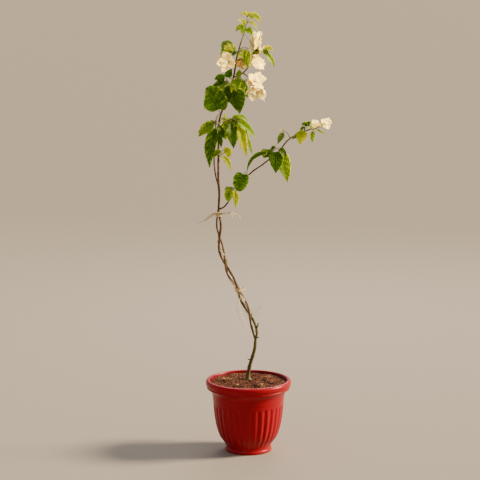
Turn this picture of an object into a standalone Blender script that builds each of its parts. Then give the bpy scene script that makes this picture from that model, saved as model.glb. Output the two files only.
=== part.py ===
"""A young white-flowered bougainvillea, a little over a metre tall, growing in a fluted plastic pot.

Two stems leave a short trunk and twine round one another, held by two raffia ties. Above the upper tie one
runs on as the leader and the other bends out as the bough on the right. Sprays of leaves and papery white
bracts grow from them. Metres, +Z up, with the origin in the middle of the pot's flat underside. -Y is the
front.
"""

import math
import random

import bmesh
import bpy
from mathutils import Vector, noise
from mathutils.bvhtree import BVHTree

GAP = 0.0003  # clearance between neighbouring solids
UP = Vector((0, 0, 1))
FRONT = Vector((0, -1, 0))
GOLDEN_TURN = math.radians(137.5)  # from each bract of a flower to the next

# Pot: its outer wall from the foot up to the rolled rim, then its inner wall, as (radius, height).
FLUTES = 32
FLUTE_DEPTH = 0.0018
FLUTE_SPAN = (0.018, 0.115)  # heights between which the flutes run out
FLUTE_FADE = 0.010
FOOT = ((0.0546, 0.0), (0.0556, 0.0040), (0.0538, 0.0085))
BODY = (
    (0.0540, 0.0125),
    (0.0560, 0.0178),
    (0.0618, 0.0265),
    (0.0702, 0.0400),
    (0.0766, 0.0600),
    (0.0826, 0.0990),
    (0.0836, 0.1120),
)
RIM = (
    (0.0848, 0.1290),
    (0.0880, 0.1430),
    (0.0962, 0.1520),
    (0.0996, 0.1556),
    (0.1014, 0.1640),
    (0.1006, 0.1696),
    (0.0956, 0.1726),
    (0.0916, 0.1712),
)
INNER = ((0.0880, 0.1580), (0.0791, 0.0990), (0.0731, 0.0600), (0.0580, 0.0265), (0.0505, 0.0040))
FLOOR = 0.0032  # height of the pot's floor at its middle

# Soil: its height at the wall and in the middle, the rings of its top, and the lumps and the heap of that,
# which run out in a level spot round the trunk.
SOIL_EDGE = 0.1650
SOIL_TOP = 0.1660
SOIL_RINGS = (0.078, 0.064, 0.051, 0.038, 0.025, 0.013)
SOIL_LEVEL = 0.036  # radius from which it falls towards the wall
SOIL_SIDES = 32
LUMP_SPACING = 0.024
LUMP_HEIGHT = 0.0050
LUMP_FREE = (0.012, 0.014)  # radius of the level spot, and the width over which the lumps begin
HEAP_AT = Vector((0.034, 0.040))
HEAP_SPREAD = 0.030
HEAP_HEIGHT = 0.0040

# Limbs: the points that each passes through, and the radii along it as (height, radius).
TRUNK_FOOT = Vector((-0.001, 0.021, SOIL_TOP + GAP))
TRUNK_LINE = (
    (-0.0005, 0.021, 0.182),
    (0.0048, 0.018, 0.2075),
    (0.0110, 0.015, 0.228),
    (0.0150, 0.013, 0.245),
)
TWINE_LINE = (
    (0.0164, 0.012, 0.262),
    (0.0150, 0.011, 0.287),
    (0.0035, 0.010, 0.326),
    (-0.0160, 0.010, 0.369),
    (-0.0265, 0.010, 0.393),
    (-0.0470, 0.010, 0.430),
    (-0.0610, 0.010, 0.470),
    (-0.0680, 0.010, 0.516),
    (-0.0700, 0.010, 0.552),
    (-0.0700, 0.010, 0.580),
)
LEADER_LINE = (
    (-0.0685, 0.012, 0.617),
    (-0.0705, 0.010, 0.655),
    (-0.0697, 0.009, 0.740),
    (-0.0680, 0.008, 0.788),
    (-0.0520, 0.009, 0.837),
    (-0.0345, 0.010, 0.891),
    (-0.0275, 0.008, 0.934),
    (-0.0167, 0.008, 0.973),
)
BOUGH_LINE = (
    (-0.0550, -0.001, 0.589),
    (-0.0350, -0.006, 0.618),
    (-0.0150, -0.008, 0.646),
    (0.0090, -0.008, 0.671),
    (0.0370, -0.007, 0.691),
    (0.0700, -0.005, 0.719),
    (0.0990, -0.003, 0.750),
    (0.1440, 0.000, 0.770),
)
LEFT_SHOOT_LINE = (
    (-0.0700, 0.009, 0.634),
    (-0.0768, 0.003, 0.663),
    (-0.0800, -0.003, 0.705),
    (-0.0745, -0.006, 0.797),
)
CROWN_BRANCH_LINE = (
    (-0.0345, 0.010, 0.890),
    (-0.0180, 0.006, 0.897),
    (-0.0060, 0.003, 0.907),
    (0.0030, 0.001, 0.918),
)
MAIN_GIRTH = (
    (0.166, 0.0041),
    (0.250, 0.0034),
    (0.275, 0.0027),
    (0.580, 0.0024),
    (0.890, 0.0018),
    (0.980, 0.0013),
)
BOUGH_GIRTH = (0.0021, 0.0011)
SHOOT_GIRTH = (0.0017, 0.0012)
CROWN_BRANCH_GIRTH = (0.0015, 0.0011)
ROOT_FLARE = 0.0024
FLARE_HEIGHT = 0.010
FORK_HEIGHT = 0.262
BEND_HEIGHT = 0.578  # where the second stem turns out as the bough
TIE_HEIGHTS = (0.390, 0.568)
CROWN_FORK = 0.895
TWINE_TURN = 0.067  # length of each half turn that the two stems make round one another
TWINE_WIDE = 0.0052  # how far each stem stands off the line between them
TWINE_TIGHT = 0.0031  # the same at a tie
STEP = 0.012  # spacing of a limb's rings
LIMB_SIDES = 6

# Ties: the strand's radius, the turns it takes round both stems, and its loose ends to the left and right.
STRAND = 0.0007
TIE_ROUND = 0.0074
TIE_PITCH = 0.0024
TIE_TURNS = 1.5
TIE_ENDS = (
    (
        ((-0.006, -0.010, 0.002), (-0.009, -0.014, -0.003)),
        ((0.008, -0.012, 0.001), (0.017, -0.016, 0.003)),
    ),
    (
        (
            (-0.010, -0.008, 0.000),
            (-0.018, -0.010, -0.003),
            (-0.030, -0.011, -0.016),
            (-0.053, -0.012, -0.028),
        ),
        ((0.014, -0.020, -0.002), (0.032, -0.022, -0.001), (0.046, -0.021, -0.014)),
    ),
)

# Blades in millimetres: the stalk's share, the thickness, how far the sides fold up, and the outline as
# (place, share of the full width).
BLADES = {
    "leaf": (0.14, 1.0, 0.22, ((0.0, 0.10), (0.14, 0.78), (0.44, 1.0), (0.78, 0.52))),
    "bract": (0.10, 0.8, 0.16, ((0.0, 0.12), (0.28, 0.86), (0.72, 0.88))),
}
STALK = 0.65  # radius of a leaf's stalk
BRACT_WIDTH = 0.84  # of a bract's length
BRACT_ARCH = 0.05
LEAF_WIDTH = 0.62  # of a back leaf's length
LEAF_ARCH = (0.08, 0.30)  # least and most arch of a back leaf
CLEAR = 0.4  # clearance kept round a leaf
STEM_SIDES = 4
STEM_STEP = 4.0  # spacing of a spray stem's rings
STEM_GIRTH = (1.3, 0.7)  # its radii at the limb and at its tip

# Sprays, in millimetres: the limb that carries each and the points of its stem; its outer leaves as (share
# of the stem, tip from there, width, arch as a share of the length); its flowers as (share of the stem,
# middle from there, way they open, length of a bract, bracts, widest opening in degrees); and how many leaves
# fill its back.
SPRAYS = {
    "lower_left_leaves": {
        "limb": "left_shoot",
        "stem": ((-75, -5, 761), (-76, -12, 774), (-74, -15, 788)),
        "leaves": (
            (1, (-42, -5, -34), 28, 0.1),
            (0.8, (-30, 20, -11), 28, 0.16),
            (1, (-16, -11, -106), 31, 0.01),
            (0.3, (13, -9, -41), 15, 0.1),
            (0.9, (18, -8, -34), 14, 0.12),
        ),
        "back": 1,
    },
    "lower_right_leaves": {
        "limb": "leader",
        "stem": ((-68, 8, 762), (-58, -3, 785), (-46, -6, 792), (-34, -9, 794), (-25, -10, 790)),
        "leaves": (
            (0.4, (4, 4, 29), 12, 0.05),
            (0.4, (8, -22, -39), 22, 0.1),
            (0.6, (-17, 12, -4), 11, 0.36),
            (0.7, (10, -23, -65), 30, 0.06),
            (0.8, (36, 15, -9), 12, 0.34),
            (0.9, (49, -1, -43), 24, 0.06),
            (1, (22, -18, -83), 23, 0.05),
            (1, (35, 6, -79), 16, 0.05),
        ),
        "back": 3,
    },
    "low_sprig": {
        "limb": "leader",
        "stem": ((-69, 8, 701), (-64, -1, 712), (-60, -6, 721)),
        "leaves": (
            (1, (13, -6, -15), 18, 0.5),
            (0.5, (24, -15, -39), 14, 0.08),
            (1, (-21, -8, -18), 14, 0.2),
        ),
        "back": 1,
    },
    "lower_back_leaves": {
        "limb": "leader",
        "stem": ((-69, 9, 752), (-66, 26, 762), (-60, 44, 766)),
        "leaves": (),
        "back": 5,
    },
    "shoot_top_leaves": {
        "limb": "left_shoot",
        "stem": ((-74, -6, 798), (-70, -10, 804), (-66, -13, 807)),
        "leaves": ((1, (-33, -13, 60), 58, 0.15), (0.4, (16, 31, 40), 30, 0.14)),
        "back": 0,
    },
    "mid_left_leaves": {
        "limb": "leader",
        "stem": ((-40, 9, 876), (-46, 0, 880), (-51, -4, 887)),
        "leaves": (
            (1, (14, -8, 24), 19, 0.12),
            (1, (-28, 0, -1), 20, 0.1),
            (0.8, (-39, 0, -21), 15, 0.1),
        ),
        "back": 1,
    },
    "mid_right_leaves": {
        "limb": "leader",
        "stem": ((-43, 9, 867), (-37, 0, 876), (-31, -5, 886), (-26, -9, 892)),
        "leaves": (
            (0.2, (19, -30, -64), 43, 0.03),
            (0.4, (-14, -15, -49), 24, 0.06),
            (0.2, (-24, -10, -27), 14, 0.1),
            (0.7, (-6, -22, -27), 12, 0.08),
            (0.9, (0, -24, -30), 24, 0.1),
            (1, (9, -11, -25), 11, 0.1),
            (1, (5, -5, 19), 14, 0.15),
        ),
        "back": 2,
    },
    "mid_back_leaves": {
        "limb": "leader",
        "stem": ((-43, 10, 866), (-39, 26, 874), (-34, 40, 876)),
        "leaves": (),
        "back": 3,
    },
    "upper_left_leaves": {
        "limb": "crown_leader",
        "stem": ((-25, 8, 945), (-31, 0, 950), (-38, -4, 955)),
        "leaves": (
            (1, (-24, 2, 4), 26, 0.36),
            (0.8, (-18, -18, 1), 24, 0.3),
            (0.5, (-6, -16, -8), 13, 0.1),
            (1, (-8, -20, -8), 13, 0.3),
        ),
        "back": 1,
    },
    "left_blossom": {
        "limb": "crown_leader",
        "stem": ((-30, 8, 916), (-36, -1, 922), (-46, -4, 926)),
        "leaves": (),
        "flowers": ((1, (-3, -3, 1), (-0.25, -1, 0.1), 28, 7, 95),),
        "back": 0,
    },
    "front_leaves": {
        "limb": "crown_leader",
        "stem": ((-23, 8, 953), (-16, -2, 958), (-8, -9, 960), (-3, -12, 960)),
        "leaves": ((1, (2, -14, -48), 18, 0.06), (0.8, (-2, -12, -31), 14, 0.12)),
        "back": 0,
    },
    "back_blossom": {
        "limb": "crown_leader",
        "stem": ((-27, 8, 930), (-22, 16, 933), (-16, 20, 934)),
        "leaves": (),
        "flowers": ((1, (0, 0, 0), (0, 0.6, -1), 30, 5, 55),),
        "back": 1,
    },
    "crown_back_leaves": {
        "limb": "crown_leader",
        "stem": ((-26, 8, 941), (-24, 24, 946), (-21, 36, 946)),
        "leaves": (),
        "back": 3,
    },
    "right_upper_blossom": {
        "limb": "crown_branch",
        "stem": ((3, 1, 920), (11, -1, 931), (21, -4, 943), (29, -5, 949), (36, -5, 953)),
        "leaves": (
            (0.3, (-2, -21, 17), 11, 0.2),
            (0.8, (-17, -11, 3), 13, 0.15),
            (0.9, (15, -12, -10), 13, 0.2),
            (0.9, (28, -3, -37), 15, 0.12),
            (1, (20, -4, -1), 16, 0.36),
        ),
        "flowers": (
            (0.6, (-1, -1, 27), (-0.04, -0.05, 1), 33, 4, 25),
            (0.6, (5, -2, 8), (0.6, -0.3, 0.75), 22, 1, 0),
            (0.6, (-5, 1, -9), (-0.5, 0.05, -0.9), 28, 1, 0),
            (0.6, (-2, 2, 0), (-0.12, 0.2, -1), 42, 6, 58),
        ),
        "back": 1,
    },
    "right_lower_blossom": {
        "limb": "crown_branch",
        "stem": ((-11, 5, 899), (-3, -1, 894), (7, -5, 886), (16, -7, 877)),
        "leaves": (),
        "flowers": (
            (0.6, (0, 0, 0), (-0.9, -0.3, -0.5), 25, 1, 0),
            (0.9, (5, -1, 3), (0.3, -0.9, 0.4), 26, 6, 90),
            (1, (2, -2, -12), (0.02, -0.6, -1), 36, 7, 66),
        ),
        "back": 0,
    },
    "top_spray": {
        "limb": "crown_leader",
        "stem": ((-15, 8, 976), (-8, 7, 998), (-4, 6, 1017), (-3, 5, 1030)),
        "leaves": (
            (0.4, (17, -23, -12), 20, 0.22),
            (0.5, (-23, -13, -7), 14, 0.3),
            (0.6, (-20, -21, 15), 9, 0.25),
            (0.8, (23, -4, -23), 9, 0.36),
            (1, (-16, -9, 3), 11, 0.5),
            (1, (31, -13, -13), 18, 0.3),
            (1, (10, 5, 9), 8, 0.25),
            (0.6, (-5, -19, -13), 9, 0.2),
        ),
        "back": 1,
    },
    "bough_low_leaves": {
        "limb": "right_bough",
        "stem": ((-28, -10, 634), (-34, -16, 636), (-39, -19, 634)),
        "leaves": ((1, (-7, -6, -33), 21, 0.12), (0.8, (6, -7, -49), 15, 0.12)),
        "back": 1,
    },
    "bough_round_leaf": {
        "limb": "right_bough",
        "stem": ((-2, -12, 664), (-3, -17, 669), (-8, -21, 673)),
        "leaves": ((1, (-12, -11, -45), 39, 0.1),),
        "back": 0,
    },
    "bough_middle_leaves": {
        "limb": "right_bough",
        "stem": ((53, -6, 707), (56, -12, 718), (62, -14, 725), (68, -13, 728)),
        "leaves": (
            (0.2, (-20, -1, -9), 10, 0.1),
            (0.4, (-59, -1, -47), 12, 0.3),
            (0.9, (-1, -18, -56), 34, 0.05),
            (0.6, (-15, -9, -14), 11, 0.25),
            (1, (23, -9, -80), 34, 0.08),
            (1, (19, -5, -23), 14, 0.2),
            (0.7, (-10, 8, 3), 13, 0.25),
        ),
        "back": 1,
    },
    "bough_back_leaves": {
        "limb": "right_bough",
        "stem": ((56, -6, 708), (60, 10, 713), (64, 26, 713)),
        "leaves": (),
        "back": 3,
    },
    "bough_upper_leaf": {
        "limb": "right_bough",
        "stem": ((97, -4, 750), (94, -8, 756), (90, -10, 763), (86, -11, 766)),
        "leaves": ((1, (-18, -3, -30), 15, 0.08),),
        "back": 0,
    },
    "bough_outer_leaves": {
        "limb": "right_bough",
        "stem": ((128, -2, 765), (132, -7, 771), (135, -10, 777)),
        "leaves": (
            (0.3, (-30, -9, -20), 13, 0.04),
            (0.4, (-11, -12, -34), 26, 0.1),
            (1, (-11, -4, 5), 11, 0.3),
            (1, (11, 0, 11), 11, 0.2),
            (0.6, (-10, -14, -2), 11, 0.3),
            (1, (2, 2, 13), 9, 0.1),
        ),
        "back": 1,
    },
    "bough_tip_flower": {
        "limb": "right_bough",
        "stem": ((144, 0, 771), (153, -3, 771), (163, -5, 775), (173, -4, 779), (180, -6, 784)),
        "leaves": (
            (0.2, (-3, -5, -33), 11, 0.06),
            (0.3, (26, -4, -14), 6, 0.04),
            (0.2, (-6, -7, 17), 9, 0.2),
        ),
        "flowers": (
            (0.5, (0, 0, 0), (-0.7, -0.2, 0.75), 23, 2, 22),
            (1, (0, 0, 0), (0.1, -1, 0.15), 17, 6, 84),
        ),
        "back": 0,
    },
}
BACK_LEAF = (34, 58)  # shortest and longest of the leaves that fill the back of a spray
SPRIG_LEAF = (22, 34)  # the same for the slight sprays near the tips
SLIGHT_SPRAYS = (
    "low_sprig",
    "upper_left_leaves",
    "top_spray",
    "bough_outer_leaves",
    "bough_tip_flower",
)
TRIES = 40  # places tried for each of them


def palette():
    """The plain materials of the solids, by name."""
    looks = {
        "pot_plastic": ((0.36, 0.016, 0.014), 0.35),
        "potting_soil": ((0.13, 0.055, 0.030), 0.95),
        "bark": ((0.16, 0.085, 0.035), 0.80),
        "raffia": ((0.62, 0.50, 0.28), 0.75),
        "leaf": ((0.09, 0.20, 0.020), 0.45),
        "bract": ((0.86, 0.83, 0.68), 0.60),
    }
    made = {}
    for name, (colour, roughness) in looks.items():
        material = bpy.data.materials.new(name)
        material.use_nodes = True
        shader = material.node_tree.nodes["Principled BSDF"]
        shader.inputs["Base Color"].default_value = (*colour, 1.0)
        shader.inputs["Roughness"].default_value = roughness
        material.diffuse_color = (*colour, 1.0)
        made[name] = material
    return made


# ---- shapes ----


def new_object(name, points, faces, material=None, collection=None, smooth=0):
    mesh = bpy.data.meshes.new(name)
    mesh.from_pydata([tuple(p) for p in points], [], faces)
    if material:
        mesh.materials.append(material)
    if smooth:
        mesh.shade_smooth()
        mesh.set_sharp_from_angle(angle=math.radians(smooth))
    made = bpy.data.objects.new(name, mesh)
    (collection or bpy.context.scene.collection).objects.link(made)
    return made


def between(pairs, at):
    """The value at this place in (place, value) pairs, straight between them."""
    for (low, first), (high, second) in zip(pairs, pairs[1:]):
        if at <= high:
            return first + (second - first) * max(0.0, (at - low) / (high - low))
    return pairs[-1][1]


def smooth_route(points, step):
    """Points evenly spaced along a smooth curve through the given ones."""
    ends = [Vector(p) for p in points]
    ends = [2 * ends[0] - ends[1], *ends, 2 * ends[-1] - ends[-2]]
    fine = []
    for a, b, c, d in zip(ends, ends[1:], ends[2:], ends[3:]):
        for k in range(24):
            t = k / 24
            bend = (2 * a - 5 * b + 4 * c - d) * t**2 + (3 * b - a - 3 * c + d) * t**3
            fine.append(b + 0.5 * ((c - a) * t + bend))
    fine.append(ends[-2])
    lengths = [0.0]
    for a, b in zip(fine, fine[1:]):
        lengths.append(lengths[-1] + (b - a).length)
    count = max(2, round(lengths[-1] / step))
    route, at = [], 0
    for k in range(count + 1):
        wanted = lengths[-1] * k / count
        while at < len(fine) - 2 and lengths[at + 1] < wanted:
            at += 1
        share = (wanted - lengths[at]) / max(1e-9, lengths[at + 1] - lengths[at])
        route.append(fine[at].lerp(fine[at + 1], min(1.0, share)))
    return route


def heading(route, k):
    return (route[min(k + 1, len(route) - 1)] - route[max(k - 1, 0)]).normalized()


def rings_along(route, radii, sides):
    """A ring of points round each point of a route, turned as little as possible from one to the next."""
    side = Vector((1, 0, 0))
    turns = [2 * math.pi * i / sides for i in range(sides)]
    rings = []
    for k, point in enumerate(route):
        ahead = heading(route, k)
        side = (side - ahead * side.dot(ahead)).normalized()
        across = ahead.cross(side)
        rings.append([point + radii[k] * (math.cos(a) * side + math.sin(a) * across) for a in turns])
    return rings


def skinned(name, rings, material=None):
    """A closed solid over a row of rings, with flat ends."""
    sides = len(rings[0])
    faces = [tuple(reversed(range(sides)))]
    for k in range(len(rings) - 1):
        for i in range(sides):
            a, b = k * sides + i, k * sides + (i + 1) % sides
            faces.append((a, b, b + sides, a + sides))
    faces.append(tuple((len(rings) - 1) * sides + i for i in range(sides)))
    return new_object(name, [p for ring in rings for p in ring], faces, material, smooth=55)


def applied(made):
    """Replaces an object's mesh with what its modifiers make of it."""
    graph = bpy.context.evaluated_depsgraph_get()
    mesh = bpy.data.meshes.new_from_object(made.evaluated_get(graph))
    made.modifiers.clear()
    made.data = mesh
    return made


def joined(made, collection):
    """Fuses a collection's solids into one object and removes them."""
    fuse = made.modifiers.new("fuse", "BOOLEAN")
    fuse.operation = "UNION"
    fuse.operand_type = "COLLECTION"
    fuse.collection = collection
    fuse.solver = "MANIFOLD"
    applied(made)
    for used in list(collection.objects):
        bpy.data.objects.remove(used)
    bpy.data.collections.remove(collection)


def cut_clear(made, cutter):
    """Cuts one solid out of another and removes the cutter and any scrap."""
    cut = made.modifiers.new("cut", "BOOLEAN")
    cut.operation = "DIFFERENCE"
    cut.object = cutter
    cut.solver = "MANIFOLD"
    applied(made)
    bpy.data.objects.remove(cutter)
    keep_largest(made)


def keep_largest(made):
    """Drops every loose scrap but the largest body."""
    shape = bmesh.new()
    shape.from_mesh(made.data)
    left, bodies = set(shape.verts), []
    while left:
        body, edge = set(), {left.pop()}
        while edge:
            body |= edge
            edge = {e.other_vert(v) for v in edge for e in v.link_edges} - body
        left -= body
        bodies.append(body)
    keep = max(bodies, key=len)
    bmesh.ops.delete(shape, geom=[v for v in shape.verts if v not in keep])
    shape.to_mesh(made.data)
    shape.free()


# ---- pot and soil ----


def flute(height, turn):
    """How far the wall is pressed in at this height and turn: ridges with round grooves between them."""
    low, high = FLUTE_SPAN
    fade = min(1.0, max(0.0, (height - low) / FLUTE_FADE), max(0.0, (high - height) / FLUTE_FADE))
    return FLUTE_DEPTH * fade * (0.5 - 0.5 * math.cos(turn * FLUTES))


def revolved(name, profile, sides, material):
    """A solid turned about Z from (radius, height) pairs that start and end on the axis."""
    points = [(0, 0, profile[0][1])]
    for radius, height in profile[1:-1]:
        for i in range(sides):
            turn = 2 * math.pi * i / sides
            points.append((radius * math.cos(turn), radius * math.sin(turn), height))
    points.append((0, 0, profile[-1][1]))
    last, rows = len(points) - 1, len(profile) - 2
    faces = [(0, 1 + (i + 1) % sides, 1 + i) for i in range(sides)]
    for k in range(rows - 1):
        for i in range(sides):
            a, b = 1 + k * sides + i, 1 + k * sides + (i + 1) % sides
            faces.append((a, b, b + sides, a + sides))
    top = 1 + (rows - 1) * sides
    faces += [(top + i, top + (i + 1) % sides, last) for i in range(sides)]
    return new_object(name, points, faces, material, smooth=12)


def pot(material):
    """The moulded pot: a foot ring, a fluted bowl and a rolled rim over a thin lip."""
    sides = 2 * FLUTES
    made = revolved("pot", ((0, 0), *FOOT, *BODY, *RIM, *INNER, (0, FLOOR)), sides, material)
    outer_wall = range(1 + sides * len(FOOT), 1 + sides * (len(FOOT) + len(BODY)))
    for point in (made.data.vertices[k] for k in outer_wall):
        radius = point.co.xy.length
        pressed = radius - flute(point.co.z, math.atan2(point.co.y, point.co.x))
        point.co.xy *= pressed / radius
    made.data.set_sharp_from_angle(angle=math.radians(15))


def soil_height(x, y, rim):
    """Height of the soil's top: level round the trunk, heaped behind it and lumpy out to the wall, at rim."""
    free, fade = LUMP_FREE
    from_trunk = math.hypot(x - TRUNK_FOOT.x, y - TRUNK_FOOT.y)
    from_heap = (Vector((x, y)) - HEAP_AT).length
    lump = LUMP_HEIGHT * noise.noise(Vector((x, y, 0)) / LUMP_SPACING)
    lump += HEAP_HEIGHT * math.exp(-((from_heap / HEAP_SPREAD) ** 2))
    out = max(0.0, math.hypot(x, y) - SOIL_LEVEL) / (rim - SOIL_LEVEL)
    fall = (SOIL_TOP - SOIL_EDGE) * out**2
    return SOIL_TOP - fall + lump * min(1.0, max(0.0, (from_trunk - free) / fade))


def soil(material):
    """Potting soil filling the pot, lumpy on top."""
    wall = [(radius - GAP, height + GAP) for radius, height in reversed(INNER) if height < SOIL_EDGE]
    (low, low_height), (lip, lip_height) = INNER[0], RIM[-1]
    rim = low + (lip - low) * (SOIL_EDGE - low_height) / (lip_height - low_height) - GAP
    top = [(radius, SOIL_TOP) for radius in SOIL_RINGS]
    profile = [(0, FLOOR + GAP), *wall, (rim, SOIL_EDGE), *top, (0, SOIL_TOP)]
    made = revolved("potting_soil", profile, SOIL_SIDES, material)
    first = 1 + SOIL_SIDES * (len(wall) + 1)
    for point in (vertex.co for vertex in made.data.vertices[first:]):
        point.z = soil_height(point.x, point.y, rim)


# ---- limbs ----


def twined():
    """The line that the two stems twine about and the stems' own lines, point by point."""
    middle = smooth_route(TWINE_LINE, 0.007)
    step = (middle[1] - middle[0]).length
    main, second = [], []
    for k, point in enumerate(middle):
        to_tie = min(abs(point.z - height) for height in TIE_HEIGHTS)
        apart = TWINE_TIGHT + (TWINE_WIDE - TWINE_TIGHT) * min(1.0, to_tie / 0.030)
        apart *= min(1.0, k * step / 0.016)
        turn = math.pi * (0.5 + k * step / TWINE_TURN)
        offset = apart * Vector((math.cos(turn), math.sin(turn), 0))
        main.append(point - offset)
        second.append(point + offset)
    return middle, main, second


def main_radius(height):
    """Radius of the trunk and of the stem that it runs on into, at this height."""
    flare = ROOT_FLARE * math.exp(-max(0.0, height - TRUNK_FOOT.z) / FLARE_HEIGHT)
    return between(MAIN_GIRTH, height) + flare


def tapering(route, girth):
    return [girth[0] + (girth[1] - girth[0]) * k / (len(route) - 1) for k in range(len(route))]


def first_above(route, height):
    return next(k for k, point in enumerate(route) if point.z > height)


def limb_pieces():
    """Each limb's route and radii. The pieces of one line share the point at which it is divided."""
    _, main, second = twined()
    axis = smooth_route([TRUNK_FOOT, *TRUNK_LINE, *main, *LEADER_LINE], STEP)
    axis_girth = [main_radius(point.z) for point in axis]
    side = smooth_route([*second[1:], *BOUGH_LINE], STEP)
    side_girth = tapering(side, BOUGH_GIRTH)
    shoot = smooth_route(LEFT_SHOOT_LINE, STEP)
    branch = smooth_route(CROWN_BRANCH_LINE, STEP)
    fork, bend, crown = (first_above(axis, height) for height in (FORK_HEIGHT, BEND_HEIGHT, CROWN_FORK))
    side_bend = first_above(side, BEND_HEIGHT)
    return {
        "trunk": (axis, axis_girth, 0, fork),
        "main_stem": (axis, axis_girth, fork, bend),
        "leader": (axis, axis_girth, bend, crown),
        "crown_leader": (axis, axis_girth, crown, len(axis) - 1),
        "second_stem": (side, side_girth, 0, side_bend),
        "right_bough": (side, side_girth, side_bend, len(side) - 1),
        "left_shoot": (shoot, tapering(shoot, SHOOT_GIRTH), 0, len(shoot) - 1),
        "crown_branch": (branch, tapering(branch, CROWN_BRANCH_GIRTH), 0, len(branch) - 1),
    }


def limb(name, piece, grow=0.0, material=None):
    """One limb as a solid, grown all over if asked. Where it follows on from another it starts a gap away."""
    route, girth, start, end = piece
    rings = rings_along(route, [radius + grow for radius in girth], LIMB_SIDES)[start : end + 1]
    inset = -grow if grow else GAP * (start > 0)
    rings[0] = [point + inset * heading(route, start) for point in rings[0]]
    rings[-1] = [point + grow * heading(route, end) for point in rings[-1]]
    if name == "trunk":
        rings[0] = [Vector((point.x, point.y, TRUNK_FOOT.z)) for point in rings[0]]
    return skinned(name, rings, material)


def limbs(pieces, material):
    """The limbs, each cut clear of those that it grows from."""
    grows_from = {
        "second_stem": ("trunk", "main_stem"),
        "left_shoot": ("leader",),
        "crown_branch": ("leader", "crown_leader"),
    }
    for name, piece in pieces.items():
        made = limb(name, piece, material=material)
        for parent in grows_from.get(name, ()):
            cut_clear(made, limb("cutter", pieces[parent], grow=GAP))


def ties(material):
    """The raffia ties: a strand round both stems with its two ends loose."""
    middle, _, _ = twined()
    for name, height, (left, right) in zip(("lower_tie", "upper_tie"), TIE_HEIGHTS, TIE_ENDS):
        at = min(range(len(middle)), key=lambda k: abs(middle[k].z - height))
        centre, along = middle[at], heading(middle, at)
        across = (Vector((1, 0, 0)) - along * along.x).normalized()
        back = along.cross(across)
        line = [centre + Vector(p) for p in reversed(left)]
        steps = round(TIE_TURNS * 8)
        for k in range(steps + 1):
            turn = math.pi + 2 * math.pi * TIE_TURNS * k / steps
            lift = TIE_PITCH * TIE_TURNS * (k / steps - 0.5)
            around = math.cos(turn) * across + math.sin(turn) * back
            line.append(centre + TIE_ROUND * around + lift * along)
        line += [centre + Vector(p) for p in right]
        route = smooth_route(line, 0.005)
        skinned(name, rings_along(route, [STRAND] * len(route), 4), material)


# ---- leaves ----


def blade_line(root, reach, arch):
    """The curve of a stalk and midrib, as a function of the share along it."""
    away = Vector((reach.x, reach.y, 0))
    away = away.normalized() if away.length > 1e-6 else FRONT
    chord = reach.normalized()
    lift = UP + 0.5 * away
    lift = (lift - chord * lift.dot(chord)).normalized()
    bend = root + 0.5 * reach + 1.5 * arch * reach.length * lift
    return lambda t: (1 - t) ** 2 * root + 2 * t * (1 - t) * bend + t**2 * (root + reach)


def blade_shape(kind, root, reach, width, arch, face, grow=0.0):
    """A leaf or bract as points and faces: a thin stalk that widens into a folded, arching blade."""
    stalk, thick, fold, outline = BLADES[kind]
    line = blade_line(root, reach, arch)
    stations = [(0.0, STALK, 2 * STALK, 0.0)]
    stations += [(stalk + (1 - stalk) * place, 0.5 * width * share, thick, fold) for place, share in outline]
    points = []
    for t, half, depth, crease in stations:
        centre = line(t)
        ahead = (line(t + 0.02) - line(t - 0.02)).normalized()
        up = (face - ahead * face.dot(ahead)).normalized()
        side = (half + grow) * ahead.cross(up)
        edge = centre + crease * half * up
        middle = (0.5 * depth + grow) * up
        points += [edge + side, centre + middle, edge - side, centre - middle]
    points.append(line(1.0))
    faces = [(0, 1, 2, 3)]
    for k in range(len(stations) - 1):
        for i in range(4):
            a, b = 4 * k + i, 4 * k + (i + 1) % 4
            # Each begins at the midrib's end, so that the two sides of a twisted face split along one line.
            faces.append((a, a + 4, b + 4, b) if i % 2 else (b, a, a + 4, b + 4))
    last = 4 * (len(stations) - 1)
    faces += [(last + (i + 1) % 4, last + i, last + 4) for i in range(4)]
    return points, faces


def leaf_face(out, chance):
    """The way that a leaf's upper side looks: up, outward and, at the front, towards the light there."""
    light = FRONT if out.y < 0.5 else Vector()
    waver = Vector([chance.uniform(-0.25, 0.25) for _ in range(3)])
    return 0.6 * UP + 0.45 * out + light + waver


class Clearance:
    """What a new leaf has to stay clear of: the limbs, the other sprays' stems and the sprays made so far."""

    def __init__(self):
        self.taken = {}

    def add(self, name, made):
        points = [1000 * vertex.co for vertex in made.data.vertices]
        self.taken[name] = BVHTree.FromPolygons(points, [tuple(face.vertices) for face in made.data.polygons])

    def allows(self, name, shape):
        tree = BVHTree.FromPolygons(*shape)
        return not any(other.overlap(tree) for key, other in self.taken.items() if key != name)


def outer_leaves(spray, route, chance):
    """The leaves that carry a spray's outline."""
    for share, tip, width, arch in spray["leaves"]:
        root = route[round(share * (len(route) - 1))]
        reach = Vector(tip)
        out = Vector((reach.x, reach.y, 0)).normalized()
        yield "leaf", root, reach, width, arch, leaf_face(out, chance)


def flower_bracts(spray, route, chance):
    """The bracts of each flower, opening wider from the middle out."""
    for share, middle, axis, length, count, widest in spray.get("flowers", ()):
        start = route[round(share * (len(route) - 1))]
        axis = Vector(axis).normalized()
        across = axis.orthogonal().normalized()
        turn = chance.uniform(0, 2 * math.pi)
        for k in range(count):
            turn += GOLDEN_TURN
            opening = math.radians(widest) * (0.5 + 0.5 * (k + 1) / count)
            out = math.cos(turn) * across + math.sin(turn) * axis.cross(across)
            reach = length * chance.uniform(0.88, 1.0) * (math.cos(opening) * axis + math.sin(opening) * out)
            face = math.sin(opening) * axis - math.cos(opening) * out
            yield "bract", start, Vector(middle) + reach, BRACT_WIDTH * length, BRACT_ARCH, face


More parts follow.
